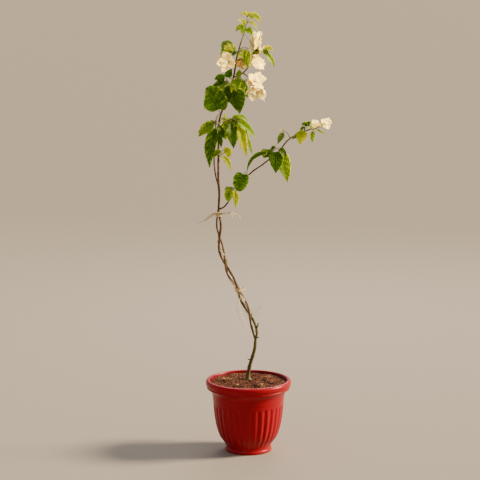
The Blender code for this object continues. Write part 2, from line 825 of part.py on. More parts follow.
def back_leaves(name, spray, route, chance, clearance):
    """Leaves that fill the back of a spray, each where a seeded try finds room for it."""
    low, high = SPRIG_LEAF if name in SLIGHT_SPRAYS else BACK_LEAF
    for _ in range(spray["back"]):
        for _ in range(TRIES):
            root = route[round(chance.uniform(0.3, 1.0) * (len(route) - 1))]
            turn = math.radians(90 + chance.uniform(-75, 75))
            drop = math.radians(chance.uniform(10, 60))
            out = Vector((math.cos(turn), math.sin(turn), 0))
            length = chance.uniform(low, high)
            reach = length * (math.cos(drop) * out - math.sin(drop) * UP)
            arch = chance.uniform(*LEAF_ARCH)
            leaf = ("leaf", root, reach, LEAF_WIDTH * length, arch, leaf_face(out, chance))
            if clearance.allows(name, blade_shape(*leaf, grow=CLEAR)):
                yield leaf
                break


def nearest_on(piece, point):
    """The point of a limb's middle line that lies nearest to this one."""
    route, _, start, end = piece
    found = []
    for a, b in zip(route[start:end], route[start + 1 : end + 1]):
        share = (point - a).dot(b - a) / (b - a).length_squared
        found.append(a.lerp(b, min(1.0, max(0.0, share))))
    return min(found, key=lambda spot: (spot - point).length)


def spray_stem(name, spray, pieces, material):
    """The stem of a spray: it starts in the middle of its limb and is cut the gap clear of it."""
    first, *others = (Vector(point) for point in spray["stem"])
    root = 1000 * nearest_on(pieces[spray["limb"]], first / 1000)
    route = smooth_route([root, *others], STEM_STEP)
    girth = tapering(route, STEM_GIRTH)
    rings = rings_along(route, girth, STEM_SIDES)
    made = skinned(name, [[point / 1000 for point in ring] for ring in rings], material)
    cut_clear(made, limb("cutter", pieces[spray["limb"]], grow=GAP))
    return made, route


def sprays(pieces, looks):
    """The masses of leaves and bracts, each one solid on its own stem."""
    clearance = Clearance()
    for name, piece in pieces.items():
        guide = limb("guide", piece, grow=2 * GAP)
        clearance.add(name, guide)
        bpy.data.objects.remove(guide)
    stems = {}
    for name, spray in SPRAYS.items():
        kind = "bract" if "flowers" in spray else "leaf"
        stems[name] = spray_stem(name, spray, pieces, looks[kind])
        clearance.add(name, stems[name][0])
    for name, spray in SPRAYS.items():
        chance = random.Random(name)
        made, route = stems[name]
        blades = [*outer_leaves(spray, route, chance), *flower_bracts(spray, route, chance)]
        blades = [blade for blade in blades if clearance.allows(name, blade_shape(*blade, grow=CLEAR))]
        blades += back_leaves(name, spray, route, chance, clearance)
        group = bpy.data.collections.new("leaves of " + name)
        bpy.context.scene.collection.children.link(group)
        for blade in blades:
            points, faces = blade_shape(*blade)
            new_object(blade[0], [point / 1000 for point in points], faces, collection=group)
        joined(made, group)
        keep_largest(made)
        clearance.add(name, made)


def main():
    for old in list(bpy.data.objects):
        bpy.data.objects.remove(old)
    looks = palette()
    pot(looks["pot_plastic"])
    soil(looks["potting_soil"])
    pieces = limb_pieces()
    limbs(pieces, looks["bark"])
    ties(looks["raffia"])
    sprays(pieces, looks)


main()
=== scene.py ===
"""A young white bougainvillea in a fluted plastic pot.

The shapes are in millimetres, with +Z up and -Y the front, and become metres as each mesh is made.
"""

import math
import random

import bpy
from mathutils import Matrix, Vector, noise
from mathutils.bvhtree import BVHTree


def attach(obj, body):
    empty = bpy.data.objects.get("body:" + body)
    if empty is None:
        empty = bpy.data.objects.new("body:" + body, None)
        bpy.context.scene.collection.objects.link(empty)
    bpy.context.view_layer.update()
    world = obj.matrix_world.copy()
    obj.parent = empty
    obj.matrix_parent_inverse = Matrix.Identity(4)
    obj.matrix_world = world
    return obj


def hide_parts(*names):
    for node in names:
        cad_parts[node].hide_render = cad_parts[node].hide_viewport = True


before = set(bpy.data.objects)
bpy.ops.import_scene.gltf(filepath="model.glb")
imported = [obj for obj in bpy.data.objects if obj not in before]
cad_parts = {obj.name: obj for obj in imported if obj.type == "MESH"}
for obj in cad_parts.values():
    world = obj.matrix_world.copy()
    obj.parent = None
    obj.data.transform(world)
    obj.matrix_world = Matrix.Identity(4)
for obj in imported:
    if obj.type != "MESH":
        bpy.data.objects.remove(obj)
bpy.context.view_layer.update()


# ---- Camera ----
# A long lens on a tripod at chest height, four and a half metres in front of the pot and tipped down a
# little, with its plate shifted so that the pot stands right of the middle.

TIPPED_DOWN = 9.705

eye = bpy.data.cameras.new("camera")
eye.sensor_width = 36.0
eye.lens = 145.72
eye.shift_x = -0.0175
camera = bpy.data.objects.new("camera", eye)
camera.location = (0.0, -4.5, 1.2779)
camera.rotation_euler = (math.radians(90 - TIPPED_DOWN), 0.0, 0.0)
bpy.context.scene.collection.objects.link(camera)
bpy.context.scene.camera = camera


# ---- Studio floor and lights ----
# A wide sheet of matt board lit from the right by a low broad lamp, like an evening sun through a screen,
# with soft panels behind, above and in front, and the even light of a pale room all round.

FLOOR_REACH = 60
PLANT_MIDDLE = Vector((0, 0, 0.55))


def linear(hex_colour):
    """The linear colour that an sRGB hex value stands for."""
    parts = [int(hex_colour[k : k + 2], 16) / 255 for k in (1, 3, 5)]
    return (*[p / 12.92 if p <= 0.04045 else ((p + 0.055) / 1.055) ** 2.4 for p in parts], 1.0)


def feed(tree, node, inputs):
    """Gives a node's inputs values, hex colours, or links from sockets or from a node's first one in use."""
    for name, value in inputs.items():
        if isinstance(value, bpy.types.Node):
            value = next(socket for socket in value.outputs if socket.enabled)
        if isinstance(value, bpy.types.NodeSocket):
            tree.links.new(value, node.inputs[name])
        else:
            node.inputs[name].default_value = linear(value) if isinstance(value, str) else value


def add(tree, kind, inputs, shades=(), **settings):
    """Adds a node with its settings and inputs, and a colour ramp's (position, hex colour) shades."""
    made = tree.nodes.new("ShaderNode" + kind)
    for name, value in settings.items():
        setattr(made, name, value)
    feed(tree, made, inputs)
    if shades:
        stops = made.color_ramp.elements
        stops[0].position, stops[1].position = shades[0][0], shades[-1][0]
        for position, _ in shades[1:-1]:
            stops.new(position)
        for stop, (_, colour) in zip(stops, shades):
            stop.color = linear(colour)
    return made


def new_finish(name, **values):
    """A material whose shader's own sockets take these values, and its node tree and shader."""
    made = bpy.data.materials.new(name)
    made.use_nodes = True
    shader = made.node_tree.nodes["Principled BSDF"]
    feed(made.node_tree, shader, {socket.replace("_", " "): value for socket, value in values.items()})
    return made, made.node_tree, shader


# Matt board, uncoated: an even pale grey with no shine.
matt_board, tree, shader = new_finish("matt_board", Base_Color="#8E8880", Roughness=0.9)
grain = add(tree, "TexNoise", {"Scale": 40.0, "Detail": 2.0})
feed(tree, shader, {"Normal": add(tree, "Bump", {"Height": grain, "Distance": 0.0003})})
board = bpy.data.meshes.new("floor")
corners = [(FLOOR_REACH * x, FLOOR_REACH * y, 0) for x, y in ((-1, -1), (1, -1), (1, 1), (-1, 1))]
board.from_pydata(corners, [], [(0, 1, 2, 3)])
board.materials.append(matt_board)
floor = bpy.data.objects.new("floor", board)
bpy.context.scene.collection.objects.link(floor)

room = bpy.data.worlds.new("pale_room")
room.use_nodes = True
feed(room.node_tree, room.node_tree.nodes["Background"], {"Color": "#F0ECE6", "Strength": 0.48})
bpy.context.scene.world = room


def new_lamp(name, energy, colour, place, **settings):
    """A lamp that stands here and looks at the middle of the plant: a panel of this size, or else a sun."""
    lamp = bpy.data.lights.new(name, "AREA" if "size" in settings else "SUN")
    lamp.energy = energy
    lamp.color = linear(colour)[:3]
    if "size" in settings:
        lamp.shape = "RECTANGLE"
    for setting, value in settings.items():
        setattr(lamp, setting, value)
    made = bpy.data.objects.new(name, lamp)
    made.location = place
    made.rotation_euler = (Vector(place) - PLANT_MIDDLE).to_track_quat("Z", "Y").to_euler()
    bpy.context.scene.collection.objects.link(made)
    return made


new_lamp("screened_sun", 12.0, "#FFE6C2", (3.0, 0.25, 2.3), angle=math.radians(16))
new_lamp("back_panel", 44.0, "#FFF0E0", (0.4, 2.2, 1.9), size=1.6, size_y=1.0)
new_lamp("overhead_panel", 9.0, "#F8F0F6", (0.2, -0.3, 2.7), size=1.4, size_y=1.4)
new_lamp("front_panel", 12.0, "#FAEEFF", (-1.2, -2.9, 2.0), size=1.8, size_y=1.8)


# ---- Pot ----
# An injection moulded polypropylene pot: a foot ring, a bowl with pressed flutes under a plain band, a
# bead and a thick rolled rim, and a thin lip that runs down into the inner wall.


def smooth_route(points, step):
    """Points evenly spaced along a smooth curve through the given ones."""
    ends = [Vector(p) for p in points]
    ends = [2 * ends[0] - ends[1], *ends, 2 * ends[-1] - ends[-2]]
    fine = []
    for a, b, c, d in zip(ends, ends[1:], ends[2:], ends[3:]):
        for k in range(24):
            t = k / 24
            bend = (2 * a - 5 * b + 4 * c - d) * t**2 + (3 * b - a - 3 * c + d) * t**3
            fine.append(b + 0.5 * ((c - a) * t + bend))
    fine.append(ends[-2])
    lengths = [0.0]
    for a, b in zip(fine, fine[1:]):
        lengths.append(lengths[-1] + (b - a).length)
    count = max(2, round(lengths[-1] / step))
    route, at = [], 0
    for k in range(count + 1):
        wanted = lengths[-1] * k / count
        while at < len(fine) - 2 and lengths[at + 1] < wanted:
            at += 1
        share = (wanted - lengths[at]) / max(1e-9, lengths[at + 1] - lengths[at])
        route.append(fine[at].lerp(fine[at + 1], min(1.0, share)))
    return route


def wall(start, rows, sides):
    """Faces round and up between rows of points, of which the first begins at this number."""
    faces = []
    for row in range(rows - 1):
        for k in range(sides):
            a, b = start + row * sides + k, start + row * sides + (k + 1) % sides
            faces.append((a, b, b + sides, a + sides))
    return faces


def turned(profile, sides, pressed=lambda radius, height, turn: radius):
    """Points and faces of a body turned about Z: its (radius, height) pairs start and end on the axis."""
    points = [Vector((0, 0, profile[0][1]))]
    for radius, height in profile[1:-1]:
        for k in range(sides):
            turn = 2 * math.pi * k / sides
            reach = pressed(radius, height, turn)
            points.append(Vector((reach * math.cos(turn), reach * math.sin(turn), height)))
    points.append(Vector((0, 0, profile[-1][1])))
    rows = len(profile) - 2
    faces = [(0, 1 + (k + 1) % sides, 1 + k) for k in range(sides)] + wall(1, rows, sides)
    top = 1 + (rows - 1) * sides
    faces += [(top + k, top + (k + 1) % sides, len(points) - 1) for k in range(sides)]
    return points, faces


def new_piece(name, points, faces, finishes, stands_for, finish_of_face=(), crease=0):
    """A smooth mesh, sharp where it turns past the crease, that rides on the one body for these solids."""
    mesh = bpy.data.meshes.new(name)
    mesh.from_pydata([tuple(0.001 * p) for p in points], [], faces)
    for used in finishes:
        mesh.materials.append(used)
    if any(finish_of_face):
        mesh.polygons.foreach_set("material_index", finish_of_face)
    mesh.shade_smooth()
    if crease:
        mesh.set_sharp_from_angle(angle=math.radians(crease))
    made = bpy.data.objects.new(name, mesh)
    bpy.context.scene.collection.objects.link(made)
    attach(made, "root")
    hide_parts(*stands_for)


POT_FOOT = ((53.4, 0.0), (54.9, 0.5), (55.5, 1.9), (55.6, 4.0), (55.0, 6.6), (53.9, 8.6))
POT_BOWL = (
    (53.9, 8.6), (53.8, 11.4), (54.8, 15.4), (57.6, 20.8), (61.8, 26.5), (70.2, 40.0), (76.6, 60.0),
    (80.3, 80.0), (82.6, 99.0), (83.6, 112.0), (84.3, 124.0),
)
POT_BAND = ((84.9, 125.4), (85.2, 130.0), (86.1, 137.0), (88.2, 143.4), (92.2, 148.6), (96.0, 151.6))
POT_BEAD = ((96.0, 151.6), (98.2, 152.3), (99.2, 154.0), (98.6, 155.8))
POT_ROLL = (
    (98.3, 156.6), (99.8, 158.6), (101.1, 161.8), (101.4, 165.2), (100.9, 168.6), (99.0, 171.4),
    (96.2, 172.6), (93.4, 172.4), (91.7, 171.2),
)
POT_INSIDE = ((91.2, 169.6), (88.0, 158.0), (79.1, 99.0), (73.1, 60.0), (58.0, 26.5), (50.5, 4.0))
POT_FLOOR = 3.2
FLUTES = 32
FLUTE_POINTS = 12
FLUTE_DEPTH = 1.9
FLUTE_SHARE = 0.80  # of the pitch, the rest is the flat of the rib
FLUTE_FOOT, FLUTE_HEAD = 17.0, 116.0
FLUTE_FADE, FLUTE_ARCH = 12.0, 9.0  # heights over which a flute runs out below and closes in an arch above


def pressed_flute(radius, height, turn):
    """The wall's radius at this height and turn, with a round groove between each pair of ribs."""
    if not FLUTE_FOOT < height < FLUTE_HEAD:
        return radius
    depth = FLUTE_DEPTH * min(1.0, (height - FLUTE_FOOT) / FLUTE_FADE)
    wide = FLUTE_SHARE
    if height > FLUTE_HEAD - FLUTE_ARCH:
        rise = (height - FLUTE_HEAD + FLUTE_ARCH) / FLUTE_ARCH
        wide *= math.sqrt(max(0.0, 1 - rise**2))
        depth *= 1 - rise**3
    from_middle = 2 * abs(turn * FLUTES / (2 * math.pi) % 1 - 0.5)
    if from_middle >= wide:
        return radius
    return radius - depth * math.cos(0.5 * math.pi * from_middle / wide) ** 1.4


def profile_of(stretches):
    """One (radius, height) list through several smooth stretches, each with its own step."""
    profile = []
    for stretch, step in stretches:
        route = smooth_route([(radius, height, 0) for radius, height in stretch], step)
        pairs = [(point.x, point.y) for point in route]
        profile += pairs[1:] if profile and profile[-1] == pairs[0] else pairs
    return profile


outside = profile_of(((POT_FOOT, 0.9), (POT_BOWL, 2.0), (POT_BAND, 2.0), (POT_BEAD, 0.8), (POT_ROLL, 1.0)))
inside = profile_of(((POT_INSIDE, 7.0),))
pot_points, pot_faces = turned(
    [(0, 0.0), *outside, *inside, (0, POT_FLOOR)],
    FLUTES * FLUTE_POINTS,
    lambda radius, height, turn: (
        radius if (radius, height) in inside else pressed_flute(radius, height, turn)
    ),
)

# Moulded polypropylene: a deep even red with a soft sheen that breaks a little in faint orange peel.
# Splashed soil dulls the foot, and a painted shade darkens the inner wall above the soil.
POT_RED, POT_DEEP_RED = "#960418", "#7E0213"
POT_SHEEN = "#FFA0A8"
# Dust at the foot, and a near black red for the painted shade inside the rim.
POT_DUST, POT_PAINTED_SHADE = "#8C4A36", "#3C0A08"
moulded_polypropylene, tree, shader = new_finish(
    "moulded_polypropylene", Specular_IOR_Level=0.32, Specular_Tint=POT_SHEEN
)
place = add(tree, "TexCoord", {}).outputs["Object"]
height = add(tree, "SeparateXYZ", {"Vector": place}).outputs["Z"]
cloud = add(tree, "TexNoise", {"Vector": place, "Scale": 1 / 0.045, "Detail": 3.0})
plastic = add(tree, "Mix", {0: cloud, 6: POT_DEEP_RED, 7: POT_RED}, data_type="RGBA")
low_down = add(tree, "MapRange", {"Value": height, 1: 0.0, 2: 0.035, 3: 0.42, 4: 0.05})
specks = add(tree, "TexNoise", {"Vector": place, "Scale": 1 / 0.006, "Detail": 6.0, "Roughness": 0.7})
splash = add(tree, "MapRange", {"Value": specks, 1: 0.50, 2: 0.72})
dusty = add(tree, "Math", {0: low_down, 1: splash}, operation="MULTIPLY")
dusted = add(tree, "Mix", {0: dusty, 6: plastic, 7: POT_DUST}, data_type="RGBA")
# Painted shade: above the soil, the inner wall is mixed most of the way to a near black red.
flat = add(tree, "VectorMath", {0: place, 1: (1, 1, 0)}, operation="MULTIPLY")
radius = add(tree, "VectorMath", {0: flat}, operation="LENGTH")
within = add(tree, "MapRange", {"Value": radius, 1: 0.0930, 2: 0.0908, 4: 0.72})
high_up = add(tree, "MapRange", {"Value": height, 1: 0.150, 2: 0.156})
painted_shade_mask = add(tree, "Math", {0: within, 1: high_up}, operation="MULTIPLY")
inner_wall_shaded = add(tree, "Mix", {0: painted_shade_mask, 6: dusted, 7: POT_PAINTED_SHADE}, data_type="RGBA")
worn = add(tree, "MapRange", {"Value": cloud, 3: 0.26, 4: 0.38})
skin = add(tree, "TexNoise", {"Vector": place, "Scale": 1 / 0.0022, "Detail": 3.0})
orange_peel = add(tree, "Bump", {"Height": skin, "Distance": 0.0001, "Strength": 0.35})
feed(tree, shader, {"Base Color": inner_wall_shaded, "Roughness": worn, "Normal": orange_peel})

new_piece("moulded_pot", pot_points, pot_faces, [moulded_polypropylene], ["pot"], crease=38)


# ---- Soil ----
# Peat and loam, watered down into lumps and hollows and heaped a little behind the trunk, with loose
# crumbs and a few dry pale clods.

TRUNK_FOOT = Vector((-1, 21, 166.3))
SOIL_WALL = ((50.2, 4.3), (57.7, 26.8), (72.8, 60.3), (78.8, 99.3), (87.6, 158.3))
SOIL_FLOOR, SOIL_EDGE, SOIL_TOP = 3.6, 165.0, 166.0
SOIL_RADIUS, SOIL_LEVEL = 89.6, 36.0
SOIL_ROWS, SOIL_SIDES = 58, 200
LUMP_SPACING, LUMP_HEIGHT, LUMP_FREE = 24.0, 5.0, (12.0, 14.0)
HEAP_AT, HEAP_SPREAD, HEAP_HEIGHT = Vector((34, 40)), 30.0, 4.0
COARSE_GRAIN, FINE_GRAIN, GRAIN_SUNK = (1.3, 6.5), (0.9, 2.8), 0.4  # (height, spacing) of each grain


def from_trunk(x, y):
    return math.hypot(x - TRUNK_FOOT.x, y - TRUNK_FOOT.y)


def soil_height(x, y):
    """Height of the soil's top: finely crumbled, level round the trunk and lumpy from there to the wall."""
    free, fade = LUMP_FREE
    from_heap = (Vector((x, y)) - HEAP_AT).length
    lump = LUMP_HEIGHT * noise.noise(Vector((x, y, 0)) / LUMP_SPACING)
    lump += HEAP_HEIGHT * math.exp(-((from_heap / HEAP_SPREAD) ** 2))
    coarse = COARSE_GRAIN[0] * noise.noise(Vector((x, y, 9)) / COARSE_GRAIN[1])
    fine = coarse + FINE_GRAIN[0] * abs(noise.noise(Vector((x, y, 5)) / FINE_GRAIN[1])) - GRAIN_SUNK
    out = max(0.0, math.hypot(x, y) - SOIL_LEVEL) / (SOIL_RADIUS - SOIL_LEVEL)
    fall = (SOIL_TOP - SOIL_EDGE) * out**2
    lump *= min(1.0, max(0.0, (from_trunk(x, y) - free) / fade))
    return SOIL_TOP - fall + lump + fine * min(1.0, from_trunk(x, y) / 9)


soil_rows = [(SOIL_RADIUS * (1 - k / SOIL_ROWS), SOIL_EDGE) for k in range(SOIL_ROWS)]
soil_points, soil_faces = turned([(0, SOIL_FLOOR), *SOIL_WALL, *soil_rows, (0, SOIL_EDGE)], SOIL_SIDES)
for point in soil_points[1 + SOIL_SIDES * len(SOIL_WALL) :]:
    point.z = soil_height(point.x, point.y)


def grained_finish(name, shades, grain, detail, relief, depth=1.0, coarseness=0.5, **values):
    """A dull natural surface, where one grain of this many metres gives both the shades and the relief."""
    made, tree, shader = new_finish(name, **values)
    place = add(tree, "TexCoord", {}).outputs["Object"]
    settings = {"Vector": place, "Scale": 1 / grain, "Detail": detail, "Roughness": coarseness}
    pattern = add(tree, "TexNoise", settings)
    bump = add(tree, "Bump", {"Height": pattern, "Distance": relief, "Strength": depth})
    graded = add(tree, "ValToRGB", {"Fac": pattern}, shades)
    feed(tree, shader, {"Base Color": graded, "Normal": bump})
    return made


# Damp loam: dark and matt, every grain with its own shadow. Dry clods: pale, dusty and finer.
LOAM_SHADES = ((0.36, "#2F1810"), (0.52, "#55301F"), (0.70, "#85523C"))
CLOD_SHADES = ((0.35, "#754C34"), (0.66, "#AE8658"))
damp_loam = grained_finish(
    "damp_loam", LOAM_SHADES, 0.0045, 6.0, 0.0012, 0.9, 0.65, Roughness=0.95, Specular_IOR_Level=0.25
)
dry_clod = grained_finish(
    "dry_clod", CLOD_SHADES, 0.003, 5.0, 0.0006, Roughness=0.95, Specular_IOR_Level=0.2
)
new_piece("potting_loam", soil_points, soil_faces, [damp_loam], ["potting_soil"])

CRUMB_CORNERS = [Vector(p).normalized() for p in (
    (0, 0, 1), (0.9, 0, 0.4), (0.3, 0.85, 0.4), (-0.7, 0.5, 0.4), (-0.7, -0.5, 0.4), (0.3, -0.85, 0.4),
    (0.7, 0.5, -0.4), (-0.3, 0.85, -0.4), (-0.9, 0, -0.4), (-0.3, -0.85, -0.4), (0.7, -0.5, -0.4),
    (0, 0, -1),
)]
CRUMB_FACES = [(0, 1 + k, 1 + (k + 1) % 5) for k in range(5)]
CRUMB_FACES += [(1 + k, 6 + k, 1 + (k + 1) % 5) for k in range(5)]
CRUMB_FACES += [(6 + k, 6 + (k + 1) % 5, 1 + (k + 1) % 5) for k in range(5)]
CRUMB_FACES += [(11, 6 + (k + 1) % 5, 6 + k) for k in range(5)]
CRUMB_REACH, CRUMB_SUNK = 86, 0.25
CRUMBS, CRUMB_SIZES, CRUMB_STRETCH = 1500, (0.7, 2.6), 1.2
CLODS, CLOD_SIZES, CLOD_STRETCH = 110, (1.0, 4.0), 1.5
BARE_ROUND_TRUNK = 7
WHOLE_POT = ((0, 0, 84.0),)
DRY_SPOTS = ((-58, 20, 11), (-54, 26, 9), (-48, 16, 8), (-30, -34, 5), (46, 30, 5), (28, -40, 6))


def crumb(centre, size, stretch, chance):
    """A lumpy crumb with twelve corners."""
    turn = chance.uniform(0, 2 * math.pi)
    spin = Matrix.Rotation(turn, 3, Vector([chance.gauss(0, 1) for _ in range(3)]))
    shape = Vector((stretch, 1.0, 0.7))
    return [
        centre + spin @ (size * chance.uniform(0.72, 1.15) * corner * shape)
        for corner in CRUMB_CORNERS
    ]


def scatter(name, finish, count, sizes, stretch, chance, spots):
    """Makes a piece of crumbs that lie on the soil round these (x, y, radius) spots."""
    points, faces = [], []
    for _ in range(count):
        x, y, wide = chance.choice(spots)
        out, turn = wide * math.sqrt(chance.random()), chance.uniform(0, 2 * math.pi)
        x, y = x + out * math.cos(turn), y + out * math.sin(turn)
        if math.hypot(x, y) > CRUMB_REACH or from_trunk(x, y) < BARE_ROUND_TRUNK:
            continue
        size = sizes[0] + (sizes[1] - sizes[0]) * chance.random() ** 3
        start = len(points)
        points += crumb(Vector((x, y, soil_height(x, y) + CRUMB_SUNK * size)), size, stretch, chance)
        faces += [tuple(start + k for k in face) for face in CRUMB_FACES]
    new_piece(name, points, faces, [finish], ["potting_soil"])


chance = random.Random("crumbs")
scatter("loam_crumbs", damp_loam, CRUMBS, CRUMB_SIZES, CRUMB_STRETCH, chance, WHOLE_POT)
scatter("dry_clods", dry_clod, CLODS, CLOD_SIZES, CLOD_STRETCH, chance, DRY_SPOTS)


# ---- Trunk, stems and boughs ----
# Young climbing wood: green to olive and smooth low down, then thin brown bark with soft ribs and a leaf
# scar at each node. Two stems leave the trunk and twine round one another up to the bough.

FRONT = Vector((0, -1, 0))
UP = Vector((0, 0, 1))
GOLDEN_TURN = math.radians(137.5)
TRUNK_LINE = ((-0.5, 21, 182), (4.8, 18, 207.5), (11.0, 15, 228), (15.0, 13, 245))
TWINE_LINE = (
    (16.4, 12, 262), (15.0, 11, 287), (3.5, 10, 326), (-16.0, 10, 369), (-26.5, 10, 393), (-47.0, 10, 430),
    (-61.0, 10, 470), (-68.0, 10, 516), (-70.0, 10, 552), (-70.0, 10, 580),
)
LEADER_LINE = (
    (-68.5, 12, 617), (-70.5, 10, 655), (-69.7, 9, 740), (-68.0, 8, 788), (-52.0, 9, 837), (-34.5, 10, 891),
    (-27.5, 8, 934), (-16.7, 8, 973),
)
BOUGH_LINE = (
    (-55.0, -1, 589), (-35.0, -6, 618), (-15.0, -8, 646), (9.0, -8, 671), (37.0, -7, 691), (70.0, -5, 719),
    (99.0, -3, 750), (144.0, 0, 770),
)
LEFT_SHOOT_LINE = ((-70.0, 9, 634), (-76.8, 3, 663), (-80.0, -3, 705), (-74.5, -6, 797))
CROWN_BRANCH_LINE = ((-34.5, 10, 890), (-18.0, 6, 897), (-6.0, 3, 907), (3.0, 1, 918))
MAIN_GIRTH = ((166, 4.1), (250, 3.4), (275, 2.7), (580, 2.4), (890, 1.8), (980, 1.3))
BOUGH_GIRTH, SHOOT_GIRTH, CROWN_BRANCH_GIRTH = (2.1, 1.1), (1.7, 1.2), (1.5, 1.1)
ROOT_FLARE, FLARE_HEIGHT = 2.4, 10
FOOT_SUNK = 1.5
TIE_HEIGHTS = (390, 568)
TWINE_STEP, TWINE_TURN, TWINE_WIDE, TWINE_TIGHT = 7, 67, 5.2, 3.1
TIE_REACH, FORK_REACH = 30, 16  # lengths over which the stems part again from a tie and from the fork
BARK_STEP, BARK_SIDES = 1.4, 18
NODE_SPACING = 31
# As shares of the radius: the bark's ribs and wrinkles, the swelling of a node, and its scar.
RIBS, WRINKLES, FINE_WRINKLES, NODE_SWELL, NODE_SCAR = 0.045, 0.07, 0.05, 0.10, 0.26
BARK_SEEDS = 3.7  # how far apart the stems' barks lie in the noise, so that no two are alike

# For each piece of bark, how much thicker it is than the solid limbs, and the limbs that it covers.
STEMS = {
    "main_stem_bark": (1.1, ("trunk", "main_stem", "leader", "crown_leader")),
    "side_stem_bark": (1.25, ("second_stem", "right_bough")),
    "left_shoot_bark": (1.1, ("left_shoot",)),
    "crown_branch_bark": (1.15, ("crown_branch",)),
}


def between(pairs, at):
    """The value at this place in (place, value) pairs, straight between them."""
    for (low, first), (high, second) in zip(pairs, pairs[1:]):
        if at <= high:
            return first + (second - first) * max(0.0, (at - low) / (high - low))
    return pairs[-1][1]


def heading(route, k):
    return (route[min(k + 1, len(route) - 1)] - route[max(k - 1, 0)]).normalized()


def twined(middle):
    """The lines of the two stems that twine about this one."""
    step = (middle[1] - middle[0]).length
    main, second = [], []
    for k, point in enumerate(middle):
        to_tie = min(abs(point.z - height) for height in TIE_HEIGHTS)
        apart = TWINE_TIGHT + (TWINE_WIDE - TWINE_TIGHT) * min(1.0, to_tie / TIE_REACH)
        apart *= min(1.0, k * step / FORK_REACH)
        turn = math.pi * (0.5 + k * step / TWINE_TURN)
        offset = apart * Vector((math.cos(turn), math.sin(turn), 0))
        main.append(point - offset)
        second.append(point + offset)
    return main, second


def main_radius(height):
    flare = ROOT_FLARE * math.exp(-max(0.0, height - TRUNK_FOOT.z) / FLARE_HEIGHT)
    return between(MAIN_GIRTH, height) + flare


def tapering(route, girth):
    return [girth[0] + (girth[1] - girth[0]) * k / (len(route) - 1) for k in range(len(route))]


def frames_along(route):
    """At each point of a route: the way ahead and two ways across, turned as little as possible."""
    side = Vector((1, 0, 0))
    for k in range(len(route)):
        ahead = heading(route, k)
        side = (side - ahead * side.dot(ahead)).normalized()
        yield ahead, side, ahead.cross(side)


def skinned(rings, start=0):
    """Faces over rows of rings, with flat ends, for points that begin at this number."""
    sides = len(rings[0])
    last = start + (len(rings) - 1) * sides
    bottom = tuple(start + k for k in reversed(range(sides)))
    return [bottom, *wall(start, len(rings), sides), tuple(last + k for k in range(sides))]


class Heap:
    """Points, faces and the finish of each face, gathered into one mesh."""

    def __init__(self):
        self.points, self.faces, self.finishes = [], [], []

    def add(self, rings, finish_of=lambda row, place: 0):
        """Adds a closed skin over rings, its faces finished by row and by place round the ring."""
        sides = len(rings[0])
        self.faces += skinned(rings, len(self.points))
        self.points += [point for ring in rings for point in ring]
        body = [finish_of(row, place) for row in range(len(rings) - 1) for place in range(sides)]
        self.finishes += [body[0], *body, body[-1]]

    def place(self, name, finishes, stands_for, slot, crease=0):
        """Makes the piece of all that was added."""
        new_piece(name, self.points, self.faces, finishes, stands_for, self.finishes, crease)


def tube(route, radii, sides):
    """Rings of a plain round tube."""
    turns = [2 * math.pi * k / sides for k in range(sides)]
    return [
        [point + radius * (math.cos(a) * side + math.sin(a) * across) for a in turns]
        for point, radius, (_, side, across) in zip(route, radii, frames_along(route))
    ]


def barked(route, radii, seed):
    """Rings of a stem with its bark: soft ribs that wander, swollen nodes with scars, and fine wrinkles."""
    rings, run = [], 0.0
    for k, (point, radius, (_, side, across)) in enumerate(zip(route, radii, frames_along(route))):
        run += (route[k] - route[k - 1]).length if k else 0.0
        nearest = round(run / NODE_SPACING)
        off = run - nearest * NODE_SPACING
        scar_turn = nearest * GOLDEN_TURN + seed
        ring = []
        for i in range(BARK_SIDES):
            turn = 2 * math.pi * i / BARK_SIDES
            way = math.cos(turn) * side + math.sin(turn) * across
            ribs = RIBS * math.sin(5 * turn + 0.02 * run + 2 * noise.noise(Vector((run / 40, seed, 0))))
            wrinkle = WRINKLES * noise.noise(Vector((way.x * 2.2, way.y * 2.2, run / 9 + seed)))
            fine = FINE_WRINKLES * noise.noise(Vector((way.x * 5, way.y * 5, run / 2.5 + seed)))
            swell = NODE_SWELL * math.exp(-((off / 3.5) ** 2))
            facing = max(0.0, math.cos(turn - scar_turn)) ** 3
            scar = NODE_SCAR * facing * math.exp(-(((off - 0.8) / 2.2) ** 2))
            ring.append(point + radius * (1 + ribs + wrinkle + fine + swell + scar) * way)
        rings.append(ring)
    return rings


twine_middle = smooth_route(TWINE_LINE, TWINE_STEP)
main_points, second_points = twined(twine_middle)


def stem_routes(step):
    """The route and radii of each of the four stems, with points this far apart."""
    main = smooth_route([TRUNK_FOOT, *TRUNK_LINE, *main_points, *LEADER_LINE], step)
    found = [(main, [main_radius(point.z) for point in main])]
    for line, girth in (
        ([*second_points[1:], *BOUGH_LINE], BOUGH_GIRTH),
        (LEFT_SHOOT_LINE, SHOOT_GIRTH),
        (CROWN_BRANCH_LINE, CROWN_BRANCH_GIRTH),
    ):
        route = smooth_route(line, step)
        found.append((route, tapering(route, girth)))
    return found


# Young bark: dull, streaked lengthwise in three browns, and still green in patches low down.
BARK_SHADES = ((0.36, "#2E1A10"), (0.54, "#5B3A22"), (0.74, "#9A7850"))
BARK_GREEN = "#4C5418"
young_bark, tree, shader = new_finish("young_bark", Roughness=0.62, Specular_IOR_Level=0.35)
place = add(tree, "TexCoord", {}).outputs["Object"]
drawn_out = add(tree, "Mapping", {"Vector": place, "Scale": (1.0, 1.0, 0.16)})
streaks = add(tree, "TexNoise", {"Vector": drawn_out, "Scale": 1 / 0.0016, "Detail": 4.0})
browns = add(tree, "ValToRGB", {"Fac": streaks}, BARK_SHADES)
height = add(tree, "SeparateXYZ", {"Vector": place}).outputs["Z"]
low_wood = add(tree, "MapRange", {"Value": height, 1: 0.26, 2: 0.42, 3: 0.82, 4: 0.12})
patches = add(tree, "TexNoise", {"Vector": place, "Scale": 1 / 0.011, "Detail": 3.0})
patchy = add(tree, "MapRange", {"Value": patches, 1: 0.35, 2: 0.60, 3: 0.35})
greenness = add(tree, "Math", {0: low_wood, 1: patchy}, operation="MULTIPLY")
